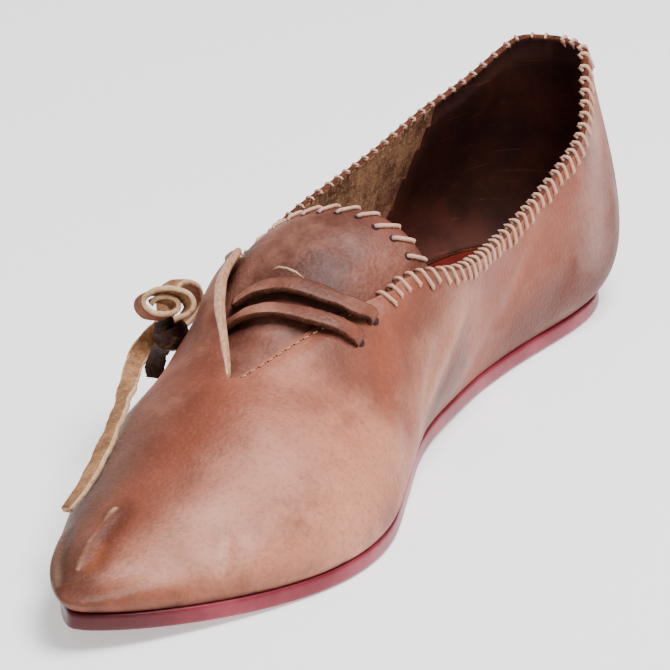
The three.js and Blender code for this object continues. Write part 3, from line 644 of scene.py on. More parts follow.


# Soft colour patches of the upper, mostly painted shade and painted highlight with some real colour: from
# and to as (station, cross share), radius in mm, colour and amount
# painted shade for the gap between the upper and the sole
SOLE_LINE_SHADE = "451E16"
STAINS_AND_PAINTED_LIGHT = [
    # painted shade: darker outer side and outer toe with a greyish painted reflection, and darker heel,
    # quarter and low waist
    ((0.74, -0.5), (0.86, -0.5), 27, "786058", 0.65),
    ((0.88, -0.5), (0.97, -0.5), 18, "50382E", 0.75),
    ((0.99, -0.6), (0.99, -0.2), 9, "46281E", 0.6),
    ((0.06, 0.75), (0.26, 0.8), 24, "5A281C", 0.85),
    ((0.2, 0.1), (0.33, 0.5), 28, "8E4430", 0.6),
    ((0.03, 0.4), (0.03, 0.9), 14, "6A3628", 0.6),
    ((0.3, 0.95), (0.46, 0.95), 9, "80402C", 0.5),
    # brown middle of the vamp and brown streak over the sole
    ((0.7, 0.06), (0.88, 0.04), 18, "84402A", 0.6),
    ((0.975, 0.5), (0.923, 0.82), 5, "8A4428", 0.5),
    ((0.923, 0.82), (0.86, 0.93), 4, "8A4428", 0.35),
    # painted highlight: pale sheen down the inner side of the vamp and over the ball
    ((0.7, 0.42), (0.8, 0.36), 19, "DE9478", 0.45),
    ((0.84, 0.38), (0.94, 0.4), 13, "D8967A", 0.3),
    ((0.74, 0.82), (0.84, 0.72), 15, "DC9174", 0.5),
    ((0.86, 0.66), (0.92, 0.6), 9, "D6957A", 0.35),
    ((0.63, 0.55), (0.75, 0.7), 18, "E09678", 0.5),
    # streaks of the waist, quarter and heel: painted highlight and painted shade along the waist's folds,
    # an orange-brown patch of colour on the quarter under the collar, and painted highlight down the heel
    # and on the ball's crease
    ((0.43, 0.25), (0.53, 0.6), 15, "D08E74", 0.45),
    ((0.43, 0.3), (0.5, 0.64), 4, "DDA080", 0.25),
    ((0.46, 0.5), (0.54, 0.75), 4, "DDA080", 0.2),
    ((0.4, 0.3), (0.47, 0.66), 3, "8E5038", 0.4),
    ((0.56, 0.25), (0.6, 0.5), 7, "9C4E30", 0.4),
    ((0.24, 0.15), (0.3, 0.5), 6, "A85E42", 0.4),
    ((0.1, 0.1), (0.13, 0.5), 13, "B49088", 0.45),
    ((0.852, 0.5), (0.88, 0.67), 2.6, "E0B098", 0.25),
    # toe: painted shade in and beside the dimple, an orange spot of colour, and a darker tip and lower
    # inner edge
    ((0.84, 0.02), (0.95, 0.02), 11, "7A402C", 0.6),
    ((0.88, -0.07), (0.965, -0.05), 7, "4E2416", 0.8),
    ((0.93, -0.05), (0.972, 0.01), 4, "9C5530", 0.45),
    ((0.995, -0.4), (0.992, 0.55), 7, "56291C", 0.75),
    ((0.985, 0.6), (0.93, 0.84), 4, "74402C", 0.5),
    # wrinkles of the outer toe: painted shade in their troughs and a painted highlight on the ridge
    # between
    ((0.89, -0.48), (0.985, -0.4), 2.4, "3A241A", 0.6),
    ((0.9, -0.62), (0.985, -0.54), 2, "A08878", 0.2),
    ((0.88, -0.78), (0.97, -0.74), 2.4, "30201A", 0.6),
    # painted shade: dark line in the gap where the upper meets the sole
    ((0.66, 1), (0.76, 1), 2, SOLE_LINE_SHADE, 0.7),
    ((0.76, 1), (0.86, 1), 2, SOLE_LINE_SHADE, 0.7),
    ((0.86, 1), (0.93, 1), 2.2, SOLE_LINE_SHADE, 0.75),
    ((0.93, 1), (0.99, 1), 2.6, "3A1812", 0.8),
    # painted highlight on the pale crest of the toe's crease
    ((0.875, -0.135), (0.925, -0.18), 1.1, "E4B49A", 0.6),
    ((0.922, -0.18), (0.97, -0.18), 1.1, "D8A488", 0.5),
]
# Pale flesh along the flap's cut edge: station and width in mm
FLAP_BORDER = [(0.522, 0.6), (0.55, 1.9), (0.578, 2.5), (0.6, 2.2), (0.64, 1.2), (0.674, 0.4)]
UPPER_LOOK = grain_leather("upper_leather", "985440", "C07C66", "66382A", STAINS_AND_PAINTED_LIGHT, FLAP_BORDER)
TONGUE_LOOK = grain_leather("tongue_leather", "7C4334", "AA7262", "502C22")
FLESH_LOOK = flesh_leather("flesh_side", "AE7E5C", "E6BC96", "60402F")
CUT_LOOK = flesh_leather("cut_edge", "C89478", "DEB296", "A87456", 2)
THONG_GRAIN = flesh_leather("thong_grain", "9A6650", "B07C62", "7C4E3C", 1.5)
THONG_FLESH = flesh_leather("thong_flesh", "AC7B54", "D6AC86", "80563A", 1.5)
THONG_EDGE = flesh_leather("thong_edge", "E2BC96", "F4DCC0", "BC9068", 2)
BAR_GRAIN = grain_leather("bar_grain", "8A4A36", "B87C68", "5C3024")
BAR_FLESH = flesh_leather("bar_flesh", "8A5C40", "A87A58", "55341F", 1.5)
# brown cut edges of the bars, darkened further as painted shade for the dark lines under them
BAR_EDGE_AND_SHADE = flesh_leather("bar_edge_and_shade", "5C3424", "84543E", "3C2016", 2)
BAR_LOOKS = [BAR_GRAIN, BAR_FLESH, BAR_EDGE_AND_SHADE]
# painted shade: darker copies of the thong's looks for the knot and the short end, which lie in shade
SHADED_KNOT_GRAIN = grain_leather("knot_grain_shaded", "4C2E26", "6E483C", "2E1A16")
SHADED_KNOT_FLESH = flesh_leather("knot_flesh_shaded", "54382A", "7A583F", "33201A", 1.5)
SHADED_KNOT_LOOKS = [SHADED_KNOT_GRAIN, SHADED_KNOT_FLESH, SHADED_KNOT_FLESH]


def two_tones(look, scale, low, high, span=(0.35, 0.7)):
    return look.mix(look.span(look.noise(scale, 4, 0.6), *span), low, high)


def lining_look():
    look = Look("lining")
    color = two_tones(look, 60, "341D19", "502A22")
    scratch = look.noise(1, 2, 0.5, where=look.stretch((40, 90, 900)), distortion=0.6)
    color = look.mix(look.span(scratch, 0.64, 0.72, 0, 0.3), color, "7A4434")
    normal = look.bump(look.noise(420, 4, 0.6), 0.3, 0.25)
    return look.finish(color=color, normal=normal, rough=0.7, specular=0.12)


def sole_look():
    look = Look("sole_leather")
    color = two_tones(look, 45, "7A1C2C", "9E3A4A")
    toe = look.near((-8, -266, 6), (9, -259, 6), 27)
    color = look.mix(look.math("MULTIPLY", toe, 0.9), color, "48080E")
    normal = look.bump(look.noise(500, 3, 0.6), 0.25, 0.2)
    return look.finish(color=color, normal=normal, rough=0.4, coat=0.1, coat_rough=0.3, specular=0.3)


def shaded_insole_look():
    look = Look("insole_leather")
    # red insole leather, darkened as painted shade for the inside of the shoe
    color = two_tones(look, 50, "5E1812", "84281F", (0.3, 0.7))
    normal = look.bump(look.noise(300, 4, 0.6), 0.25, 0.3)
    return look.finish(color=color, normal=normal, rough=0.42, coat=0.15, coat_rough=0.3, specular=0.35)


def thread_look():
    look = Look("thread")
    color = look.mix(look.noise(300, 2, 0.6), "B08068", "DAAE96")
    normal = look.bump(look.noise(1800, 2, 0.6), 0.4, 0.15)
    return look.finish(color=color, normal=normal, rough=0.6)


def plain_look(name, color, rough):
    return Look(name).finish(color=color, rough=rough)


RIM_LOOK = flesh_leather("rim", "6A3A2A", "96624E", "482418", 2)
LINING_LOOK = lining_look()
FRINGE_LOOK = flesh_leather("lining_edge", "9C6A4E", "C0906E", "6E4430", 2)
SOLE_LOOK = sole_look()
INSOLE_SHADED_LOOK = shaded_insole_look()
THREAD_LOOK = thread_look()
# painted shade: a dark look for the discs that stand for holes and slits
HOLE_SHADE_LOOK = plain_look("hole", "2A1410", 0.9)
SEAM_LOOK = plain_look("seam_thread", "B07A62", 0.7)


def run_of(points):
    """Length run from the first point to each of them."""
    return np.concatenate([[0], np.cumsum(np.linalg.norm(np.diff(points, axis=0), axis=1))])


def at_run(where, run, values):
    """Values at places of a run, from rows of them given along it."""
    return np.stack([np.interp(where, run, values[:, k]) for k in range(3)], -1)


# Thong: a flat ribbon with a grain side, a flesh side and pale cut edges
CURVE_STEPS = 30


def catmull(route, count):
    """Points at even steps of length on a smooth curve through a route, and the length."""
    route = np.asarray(route, float)
    first = 2 * route[0] - route[1]
    last = 2 * route[-1] - route[-2]
    points = np.vstack([first, route, last])
    t = np.linspace(0, 1, CURVE_STEPS, endpoint=False)[:, None]
    fine = []
    for i in range(1, len(points) - 2):
        p0, p1, p2, p3 = points[i - 1 : i + 3]
        square = 2 * p0 - 5 * p1 + 4 * p2 - p3
        cube = 3 * p1 - p0 - 3 * p2 + p3
        fine.append(0.5 * (2 * p1 + (p2 - p0) * t + square * t**2 + cube * t**3))
    fine = np.vstack(fine + [route[-1:]])
    run = run_of(fine)
    return at_run(np.linspace(0, run[-1], count), run, fine), run[-1]


THONG_SECTION = [
    (0.5, 0.32), (0.42, 0.46), (0.2, 0.5), (-0.2, 0.5), (-0.42, 0.46), (-0.5, 0.32),
    (-0.5, -0.32), (-0.42, -0.46), (-0.2, -0.5), (0.2, -0.5), (0.42, -0.46), (0.5, -0.32),
]
# Look of each face of the section: 0 for grain, 1 for flesh, 2 for a cut edge
THONG_SIDES = [2, 0, 0, 0, 2, 2, 2, 1, 1, 1, 2, 2]
THONG_WOBBLE = 0.07


def thong(
    name, route, count, across, width=THONG_WIDTH, thick=THONG_THICKNESS, taper=0.0, flip=False, looks=None
):
    """A ribbon along a route; across gives the width's direction at a point with a run."""
    path, length = catmull(route, count)
    run = unit(np.gradient(path, axis=0))
    rough = np.random.default_rng(len(name) * 7 + count)
    wobble = 1 + THONG_WOBBLE * np.convolve(rough.normal(size=count + 4), np.ones(5) / 5, "valid") * 2
    points = []
    size = len(THONG_SECTION)
    for i in range(count):
        wide = np.asarray(across(path[i], run[i]), float)
        wide = unit(wide - run[i] * wide.dot(run[i]))
        flat = np.cross(run[i], wide) * (-1 if flip else 1)
        share = i / (count - 1)
        here = width * wobble[i] * (1 - taper * smooth(0.8, 1, share))
        for w, h in THONG_SECTION:
            points.append(path[i] + wide * w * here + flat * h * thick)
    faces = ring_faces(count, size)
    caps = [list(range(size)), list(range((count - 1) * size, count * size))[::-1]]
    if flip:
        caps = [cap[::-1] for cap in caps]
    else:
        faces = turned(faces)
    indices = THONG_SIDES * (count - 1) + [2, 2]
    looks = looks or [THONG_GRAIN, THONG_FLESH, THONG_EDGE]
    piece = new_mesh(name, points, faces + caps, looks, indices)
    return piece, path, length


def place(rows):
    """Route points from across, along the foot from the heel, and up."""
    rows = np.atleast_2d(np.asarray(rows, float))
    return rows * np.array([1, -1, 1])


KNOT_CENTRE = place((-34, 151.8, 33))[0]
BACK_LOOP = place(
    [
        (-36.6, 149.4, 35.6), (-38.8, 145.6, 39.8), (-38.4, 140.6, 41.6), (-37.8, 136, 40.2),
        (-37.6, 132.4, 37), (-37.6, 131.4, 33.6), (-37.8, 133.8, 30.8), (-38, 138.6, 30),
        (-37.6, 143.4, 30.6), (-37, 147.4, 31.6),
    ]
)
HANGING_END = place(
    [
        (-36.9, 151.6, 34.2), (-38.8, 152.6, 32.2), (-40.3, 154.6, 29.8), (-40.2, 158, 28.2),
        (-38.6, 163.6, 27.6), (-36.4, 169.4, 27.5), (-33.7, 176.4, 27.6), (-30.4, 185, 28.2),
        (-27.7, 192, 28.9), (-25.6, 199.1, 28.2), (-24.1, 205.3, 27.2), (-22.8, 211.8, 25.7),
        (-22, 217.5, 24.1), (-21.5, 223.1, 22.4), (-21.9, 227.5, 20.5), (-22.3, 230.6, 19.2),
    ]
)
SHORT_END = place([(-36.7, 150.4, 29.4), (-38.9, 149, 26.4), (-40, 148.8, 22.6), (-40, 150, 19)])
FRONT_LOOP = {
    "centre": (-34.9, 153.9, 41.9),
    "half_width": 7.4,
    "half_height": 4.3,
    "turns": 1.6,
    "curl": 0.66,
    "depth": 2.4,
}
LOOP_SIDE = place((0.897, -0.443, 0))[0]
LOOP_UP = place((-0.184, -0.372, 0.91))[0]
LOOP_AXIS = place((0.744, 0.374, 0.566))[0]
FORWARD_FACE = np.array([0.4, -0.82, 0.41])
VAMP_FACE = np.array([-0.25, -0.64, 0.73])


def front_loop_route():
    share = np.linspace(0, 1, 23)[:, None]
    angle = -1.2 + share * FRONT_LOOP["turns"] * 2 * np.pi
    size = 1 - FRONT_LOOP["curl"] * share
    return (
        place(FRONT_LOOP["centre"])
        + size * FRONT_LOOP["half_width"] * np.cos(angle) * LOOP_SIDE
        + size * FRONT_LOOP["half_height"] * np.sin(angle) * LOOP_UP
        - FRONT_LOOP["depth"] * share * LOOP_AXIS
    )


def across_face(centre, run):
    """Width direction of an end that faces forward at the knot and turns up where it lies on the vamp."""
    face = lerp(FORWARD_FACE, VAMP_FACE, smooth(165, 195, -centre[1]))
    return np.cross(face, run)


def sideways(*_):
    return np.array([1, 0, 0.2])


def along_axis(*_):
    return LOOP_AXIS


def knot():
    """Three tight turns of the thong round the knot's middle."""
    turns = [
        ((1, 0, 0.3), (0, 0.5, 1), 3.0, 3.6),
        ((0.3, 0.9, 0.3), (-0.2, 0.2, 1), 3.4, 3.2),
        ((0.8, -0.5, 0.2), (0.3, 1, 0.1), 3.2, 3.4),
    ]
    pieces = []
    for k, (first, second, wide, tall) in enumerate(turns):
        side = unit(np.array(first, float))
        up = unit(np.array(second, float) - side * np.dot(second, side))
        axis = np.cross(side, up)
        angle = np.linspace(0, 1.9 * np.pi, 16)[:, None] + k
        route = KNOT_CENTRE + wide * np.cos(angle) * side + tall * np.sin(angle) * up
        route = route + axis * np.linspace(-0.8, 0.8, 16)[:, None]
        turn, _, _ = thong(
            f"knot_turn_{k + 1}", route, 40, lambda *_: axis, width=4.0, thick=1.5, looks=SHADED_KNOT_LOOKS
        )
        if k == 0:
            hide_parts("lace_knot")
        pieces.append(turn)
    return pieces


CORDS = [
    ("lace_short_end", SHORT_END, 30, across_face, 0.2, False),
    ("lace_front_loop", front_loop_route(), 90, along_axis, 0.1, False),
    ("lace_back_loop", BACK_LOOP, 60, sideways, 0.0, False),
    ("lace_hanging_end", HANGING_END, 90, across_face, 0.25, True),
]
SHORTEST_CORD = 30
knot_pieces = knot()
for cord_name, cord_route, cord_count, cord_across, cord_taper, cord_flip in CORDS:
    cord_piece, cord_path, cord_length = thong(
        cord_name.replace("lace", "thong"),
        cord_route,
        cord_count,
        cord_across,
        taper=cord_taper,
        flip=cord_flip,
        looks=SHADED_KNOT_LOOKS if cord_name == "lace_short_end" else None,
    )
    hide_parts(cord_name)
    if cord_length < SHORTEST_CORD:
        knot_pieces.append(cord_piece)
        continue

# Upper: both faces, the rim between them, soft creases and a skived edge where it is sewn down
COLUMNS = 220
ROWS = 48
RIM_STEPS = 4
SKIVE_DEPTH = 1.75
SKIVE_REACH = 5.5

# Creases and swells: from and to as (station, cross share) with cross share 0 at the spine or rim, plus on
# the medial side, then height in mm (plus is out) and half width in mm
CREASES = [
    # toe: ridge with a dimple beside it, and wrinkles on the outer side
    ((0.875, -0.13), (0.925, -0.18), 0.9, 1.7),
    ((0.922, -0.18), (0.97, -0.18), 0.8, 1.6),
    ((0.87, -0.05), (0.93, -0.04), -0.45, 3.2),
    ((0.925, -0.03), (0.965, 0.03), -0.5, 3.0),
    ((0.93, -0.33), (0.985, -0.3), -0.35, 1.4),
    ((0.9, -0.5), (0.985, -0.42), -0.45, 1.6),
    ((0.885, -0.62), (0.975, -0.6), 0.35, 1.6),
    ((0.87, -0.78), (0.965, -0.76), -0.4, 1.8),
    ((0.852, 0.5), (0.882, 0.68), 0.5, 2.2),
    ((0.835, 0.5), (0.865, 0.66), -0.35, 2.4),
    ((0.93, 0.5), (0.985, 0.35), -0.4, 2.4),
    # vamp
    ((0.8, 0.45), (0.87, 0.42), -0.45, 5.0),
    ((0.7, 0.2), (0.8, 0.12), 0.35, 9.0),
    ((0.6, -0.45), (0.7, -0.7), -0.45, 5.0),
    ((0.72, -0.3), (0.82, -0.55), 0.4, 5.0),
    # waist, inner side
    ((0.41, 0.35), (0.47, 0.72), -0.4, 3.0),
    ((0.43, 0.3), (0.5, 0.64), 0.5, 2.4),
    ((0.455, 0.3), (0.53, 0.66), -0.45, 2.4),
    ((0.49, 0.35), (0.56, 0.72), 0.35, 2.6),
    ((0.56, 0.5), (0.62, 0.9), -0.4, 5.0),
    # quarters and heel
    ((0.25, 0.3), (0.36, 0.85), -0.5, 4.0),
    ((0.3, 0.35), (0.42, 0.8), 0.5, 4.5),
    ((0.14, 0.25), (0.2, 0.8), -0.5, 5.0),
    ((0.07, 0.3), (0.1, 0.75), 0.5, 5.0),
    ((0.2, -0.3), (0.32, -0.7), -0.5, 5.0),
    ((0.35, -0.3), (0.45, -0.8), 0.4, 6.0),
]


def crease_height(at, cross, length):
    """Sum of the creases at stations with cross shares; length is each rib's own in mm."""
    total = np.zeros(np.broadcast(at, cross).shape)
    for (a0, c0), (a1, c1), height, width in CREASES:
        if c0 * np.sign(cross).mean() < 0 and abs(c0) > 0.2:
            continue
        px = (at - a0) * SOLE_LENGTH
        py = (cross - c0) * length
        dx = (a1 - a0) * SOLE_LENGTH
        dy = (c1 - c0) * length
        span = np.maximum(dx * dx + dy * dy, 1e-6)
        share = (px * dx + py * dy) / span
        off = np.abs(px * dy - py * dx) / np.sqrt(span)
        fade = smooth(-0.15, 0.2, share) * (1 - smooth(0.8, 1.15, share))
        total = total + height * np.exp(-((off / width) ** 2)) * fade
    return total


LINING_THICKNESS = 0.6
LINING_EDGE = {"top": 0.157, "bottom": 0.19}


def lining_edge(share):
    """Station of the lining's front edge at a share of the wall's height."""
    return lerp(LINING_EDGE["bottom"], LINING_EDGE["top"], np.asarray(share))


def stations(count):
    share = np.linspace(0, 1, count + 1)
    at = 0.6 * (1 - np.cos(np.pi * share)) / 2 + 0.4 * share
    nearest = int(np.abs(at - SLIT_POINT_AT).argmin())
    at[nearest] = SLIT_POINT_AT
    return at, nearest


def grid_normals(points):
    return unit(np.cross(np.gradient(points, axis=0), np.gradient(points, axis=1)))


def build_upper():
    at, slit = stations(COLUMNS)
    shares = np.linspace(0, 1, ROWS + 1)
    shares = lerp(shares, np.sin(shares * np.pi / 2), 0.35)
    outer, inner = {}, {}
    for side in SIDES:
        base = upper_grid(side, at, shares)
        sign = 1 if side == "medial" else -1
        normals = -sign * grid_normals(base)
        rib = np.linalg.norm(np.diff(base, axis=1), axis=-1).sum(1)[:, None]
        cross = sign * (1 - shares)[None, :] * np.ones((at.size, 1))
        height = crease_height(at[:, None], cross, rib)
        height = height * smooth(0, 0.12, shares)[None, :]
        rim_fade = 1 - smooth(0.85, 1, shares)[None, :]
        height = height * np.where((at < SLIT_POINT_AT)[:, None], rim_fade, 1)
        shaped = base + normals * height[..., None]
        lined = 1 - smooth(-0.003, 0.003, at[:, None] - lining_edge(shares)[None, :])
        lined = lined * (1 - smooth(0.9, 0.97, shares))[None, :]
        inner[side] = shaped - normals * (UPPER_WALL + LINING_THICKNESS * lined)[..., None]
        if side == "medial":
            to_edge = (1 - shares)[None, :] * rib
            zone = smooth(0.512, 0.54, at) * (1 - smooth(0.668, 0.681, at))
            skive = SKIVE_DEPTH * (1 - smooth(0, SKIVE_REACH, to_edge)) * zone[:, None]
            shaped = shaped - normals * skive[..., None]
        outer[side] = shaped
    # The spine over the vamp is shared by both sides
    for grid in (outer, inner):
        middle = (grid["medial"][slit:, -1] + grid["lateral"][slit:, -1]) / 2
        for side in SIDES:
            grid[side][slit:, -1] = middle
    return at, slit, outer, inner


UPPER_AT, UPPER_SLIT, UPPER_OUTER, UPPER_INNER = build_upper()


def rim_point(side, i, step):
    """Round of the rim from the outer face (step 0) to the inner face."""
    a = UPPER_OUTER[side][i, -1]
    b = UPPER_INNER[side][i, -1]
    up = unit(UPPER_OUTER[side][i, -1] - UPPER_OUTER[side][i, -2])
    share = step / (RIM_STEPS + 1)
    half = np.linalg.norm(a - b) / 2
    return lerp(a, b, share) + up * half * 0.7 * np.sin(np.pi * share)


GRAIN, FLESH, CUT, LINED, RIM, FRINGE = range(6)
UPPER_LOOKS = [UPPER_LOOK, FLESH_LOOK, CUT_LOOK, LINING_LOOK, RIM_LOOK, FRINGE_LOOK]
CUT_START_AT = 0.515


def upper_mesh():
    """Points, faces and looks of the upper: both faces, the rim, and the edge that is sewn down."""
    points, numbers = [], {}

    def number(kind, side, i, j, where):
        if i in (0, COLUMNS) or (j == ROWS and i >= UPPER_SLIT and kind != "rim"):
            side = "medial"
        if kind == "rim" and i == UPPER_SLIT:
            side = "medial"
        key = (kind, side, i, j)
        if key not in numbers:
            numbers[key] = len(points)
            points.append(where(side))
        return numbers[key]

    def outer(side, i, j):
        return number("outer", side, i, j, lambda s: UPPER_OUTER[s][i, j])

    def inner(side, i, j):
        return number("inner", side, i, j, lambda s: UPPER_INNER[s][i, j])

    def rim(side, i, k):
        if k == 0:
            return outer(side, i, ROWS)
        if k == RIM_STEPS + 1:
            return inner(side, i, ROWS)
        return number("rim", side, i, k, lambda s: rim_point(s, i, k))

    faces, indices = [], []
    shares = np.linspace(0, 1, ROWS + 1)
    step = 1 / COLUMNS

    def add(quad, side, look, inside=False):
        if (side == "lateral") != inside:
            quad = quad[::-1]
        quad = list(dict.fromkeys(quad))
        if len(quad) > 2:
            faces.append(quad)
            indices.append(look)

    for side in SIDES:
        for i in range(COLUMNS):
            for j in range(ROWS):
                corner = [(i, j), (i, j + 1), (i + 1, j + 1), (i + 1, j)]
                add([outer(side, *c) for c in corner], side, GRAIN)
                past = UPPER_AT[i] + 0.5 * step - lining_edge(shares[j])
                look = LINED if past < 0 else FRINGE if past < 0.9 * step else FLESH
                add([inner(side, *c) for c in corner], side, look, inside=True)
            sewn = [inner(side, i, 0), outer(side, i, 0), outer(side, i + 1, 0), inner(side, i + 1, 0)]
            add(sewn, side, FLESH)
            if i < UPPER_SLIT:
                look = CUT if side == "lateral" and UPPER_AT[i] > CUT_START_AT else RIM
                for k in range(RIM_STEPS + 1):
                    corner = [(i, k), (i, k + 1), (i + 1, k + 1), (i + 1, k)]
                    add([rim(side, *c) for c in corner], side, look)
    return points, faces, indices


upper_points, upper_faces, upper_indices = upper_mesh()
upper = new_mesh("upper_skin", upper_points, upper_faces, UPPER_LOOKS, upper_indices)
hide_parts("upper")


def sheet_mesh(name, grid, thickness, looks):
    """A sheet of that thickness below a grid of points, closed round its edges."""
    rows, columns = grid.shape[:2]
    normals = grid_normals(grid)
    if normals[rows // 2, columns // 2, 2] < 0:
        normals = -normals
    lower = grid - normals * thickness
    points = np.vstack([grid.reshape(-1, 3), lower.reshape(-1, 3)])
    count = rows * columns
    faces, indices = [], []
    for i in range(rows - 1):
        for j in range(columns - 1):
            a = i * columns + j
            quad = [a, a + 1, a + columns + 1, a + columns]
            faces.append(quad[::-1])
            indices.append(0)
            faces.append([count + v for v in quad])
            indices.append(1)
    rim = list(range(columns))
    rim += [i * columns + columns - 1 for i in range(1, rows)]
    rim += [(rows - 1) * columns + j for j in range(columns - 2, -1, -1)]
    rim += [i * columns for i in range(rows - 2, 0, -1)]
    for k, a in enumerate(rim):
        b = rim[(k + 1) % len(rim)]
        faces.append([a, b, b + count, a + count])
        indices.append(0)
    return new_mesh(name, points, faces, looks, indices)


def build_tongue():
    at = np.linspace(TONGUE_TOP_AT, TONGUE_FRONT_AT, 60)
    across = np.linspace(0, 1, 60)
    grid = bezier(tongue_sections(at), np.broadcast_to(across, (at.size, across.size)))
    piece = sheet_mesh("tongue_skin", grid, TONGUE_THICKNESS, [TONGUE_LOOK, FLESH_LOOK])
    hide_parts("tongue")


build_tongue()

# Bars of the thong over the tongue
MEDIAL_HOLES = [(0.546, 0.92), (0.573, 0.855)]
LATERAL_HOLES = [(0.585, 0.66), (0.61, 0.68)]
BAR_LIFT = 1.1
HOLE_DEPTH = 1.6


def build_bar(name, hole, end):
    stand = THONG_THICKNESS / 2 + FIT_GAP + 0.4
    start, out, climb = upper_spot("medial", *hole)
    edge, edge_out, _ = upper_spot("medial", lerp(hole[0], end[0], 0.2), lerp(hole[1], 1, 0.75))
    route = [
        start - out * HOLE_DEPTH - climb * HOLE_DEPTH,
        start + out * stand * 0.5,
        edge + edge_out * (stand - 0.2),
    ]
    for k, across in enumerate((0.62, 0.4, 0.2)):
        spot, spot_out = tongue_spot(lerp(hole[0], end[0], 0.5 + 0.25 * k), across)
        slack = BAR_LIFT * np.sin(np.pi * (1 - across)) * (k < 2)
        route.append(spot + spot_out * (stand + slack))
    piece, _, _ = thong(name, route, 50, lambda *_: np.array([0, -1, -0.3]), looks=BAR_LOOKS)
    return piece, (start - climb * 1.5, out)


bar_slits = []
for bar_name, bar_hole, bar_end in zip(("lace_bar_back", "lace_bar_front"), MEDIAL_HOLES, LATERAL_HOLES):
    bar, bar_slit = build_bar(bar_name.replace("lace", "thong"), bar_hole, bar_end)
    bar_slits.append(bar_slit)
    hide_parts(bar_name)


# Sole and insole
def plate(name, rings, look):
    """A plate that follows the sole: rings of inset and height, from the underside round to the top."""
    at, _ = stations(160)
    count = at.size - 1
    size = 2 * count
    points = []
    for inset, height in rings:
        for side in SIDES:
            values = at if side == "medial" else at[-2:0:-1]
            point, _ = edge_at(side, values, inset)
            z = underside_at(values) + height
            points.extend(np.concatenate([point, z[:, None]], -1))
    faces = ring_faces(len(rings), size)
    last = (len(rings) - 1) * size
    for i in range(count):
        lateral = [0 if k == 0 else size - k for k in (i, i + 1)]
        quad = list(dict.fromkeys([i, lateral[0], lateral[1] % size, i + 1]))
        if len(quad) > 2:
            faces.append(quad)
            faces.append([last + v for v in quad[::-1]])
    return new_mesh(name, points, faces, [look])


SOLE_RINGS = [
    (0.9, 0), (0.35, 0.15), (0.05, 0.6), (0, 1.2), (0.05, 2.2),
    (0.1, 3.2), (0.2, 3.9), (0.5, 4.35), (1.2, 4.5),
]
outsole = plate("outsole_skin", SOLE_RINGS, SOLE_LOOK)
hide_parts("outsole")
INSOLE_INSET = FEATHER_INSET + UPPER_WALL + FIT_GAP + 0.1
INSOLE_BASE = SOLE_THICKNESS + FIT_GAP
insole = plate(
    "insole_skin",
    [
        (INSOLE_INSET, INSOLE_BASE),
        (INSOLE_INSET, INSOLE_BASE + INSOLE_THICKNESS - 0.5),
        (INSOLE_INSET + 0.5, INSOLE_BASE + INSOLE_THICKNESS),
    ],
    INSOLE_SHADED_LOOK,
)
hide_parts("insole")


# Stitches: short threads over an edge, with a dark disc of painted shade for the hole where each enters
# the leather
TUBE_SIDES = 7
TUBE_END = 0.55
HOLE_SIDES = 8
HOLE_RISE = 0.03
HOLE_SINK = 0.5
# How far single stitches stray, as shares of the pitch, depth and slant
PITCH_STRAY = 0.05
DEPTH_STRAY = 0.1
SLANT_STRAY = 0.15
TONGUE_STITCH = {"pitch": 5.6, "depth": 3.9, "slant": -4.0, "radius": 0.58}
COLLAR_SLANT = 2.1
PEG_SPAN = (0.06, 0.6)
PEG_PITCH = 9
PEG_INSET = 4
SEAM_SPAN = (0.538, 0.676)
SEAM_INSET = 1.5
SEAM_STITCH = 1.9
SEAM_PITCH = 3.0
# Heights of a running stitch along its length, in mm: it starts and ends in the leather
SEAM_RISE = np.array([-0.3, 0.16, 0.24, 0.24, 0.16, -0.3])[:, None]
# The stitch over the back bar: station, then share across the tongue and height in mm
BAR_STITCH_AT = 0.557
BAR_STITCH = [(0.62, 2.2), (0.57, 3.5), (0.52, 3.9), (0.47, 3.7), (0.42, 2.4)]


def circle(centre, side, up, radius, sides):
    """Points of a circle round a centre, in the plane of two directions."""
    angles = [2 * np.pi * k / sides for k in range(sides)]
    return [centre + radius * (np.cos(angle) * side + np.sin(angle) * up) for angle in angles]


def tube(points, faces, path, radius):
    """Adds a round thread with narrower ends along a path."""
    run = unit(np.gradient(path, axis=0))
    start = len(points)
    guide = np.array([0.31, 0.17, 0.93])
    for i, centre in enumerate(path):
        side = unit(np.cross(run[i], guide))
        here = radius * (TUBE_END if i in (0, len(path) - 1) else 1)
        points += circle(centre, side, np.cross(side, run[i]), here, TUBE_SIDES)
    faces += ring_faces(len(path), TUBE_SIDES, start)
    faces.append(list(range(start, start + TUBE_SIDES))[::-1])
    last = start + (len(path) - 1) * TUBE_SIDES
    faces.append(list(range(last, last + TUBE_SIDES)))


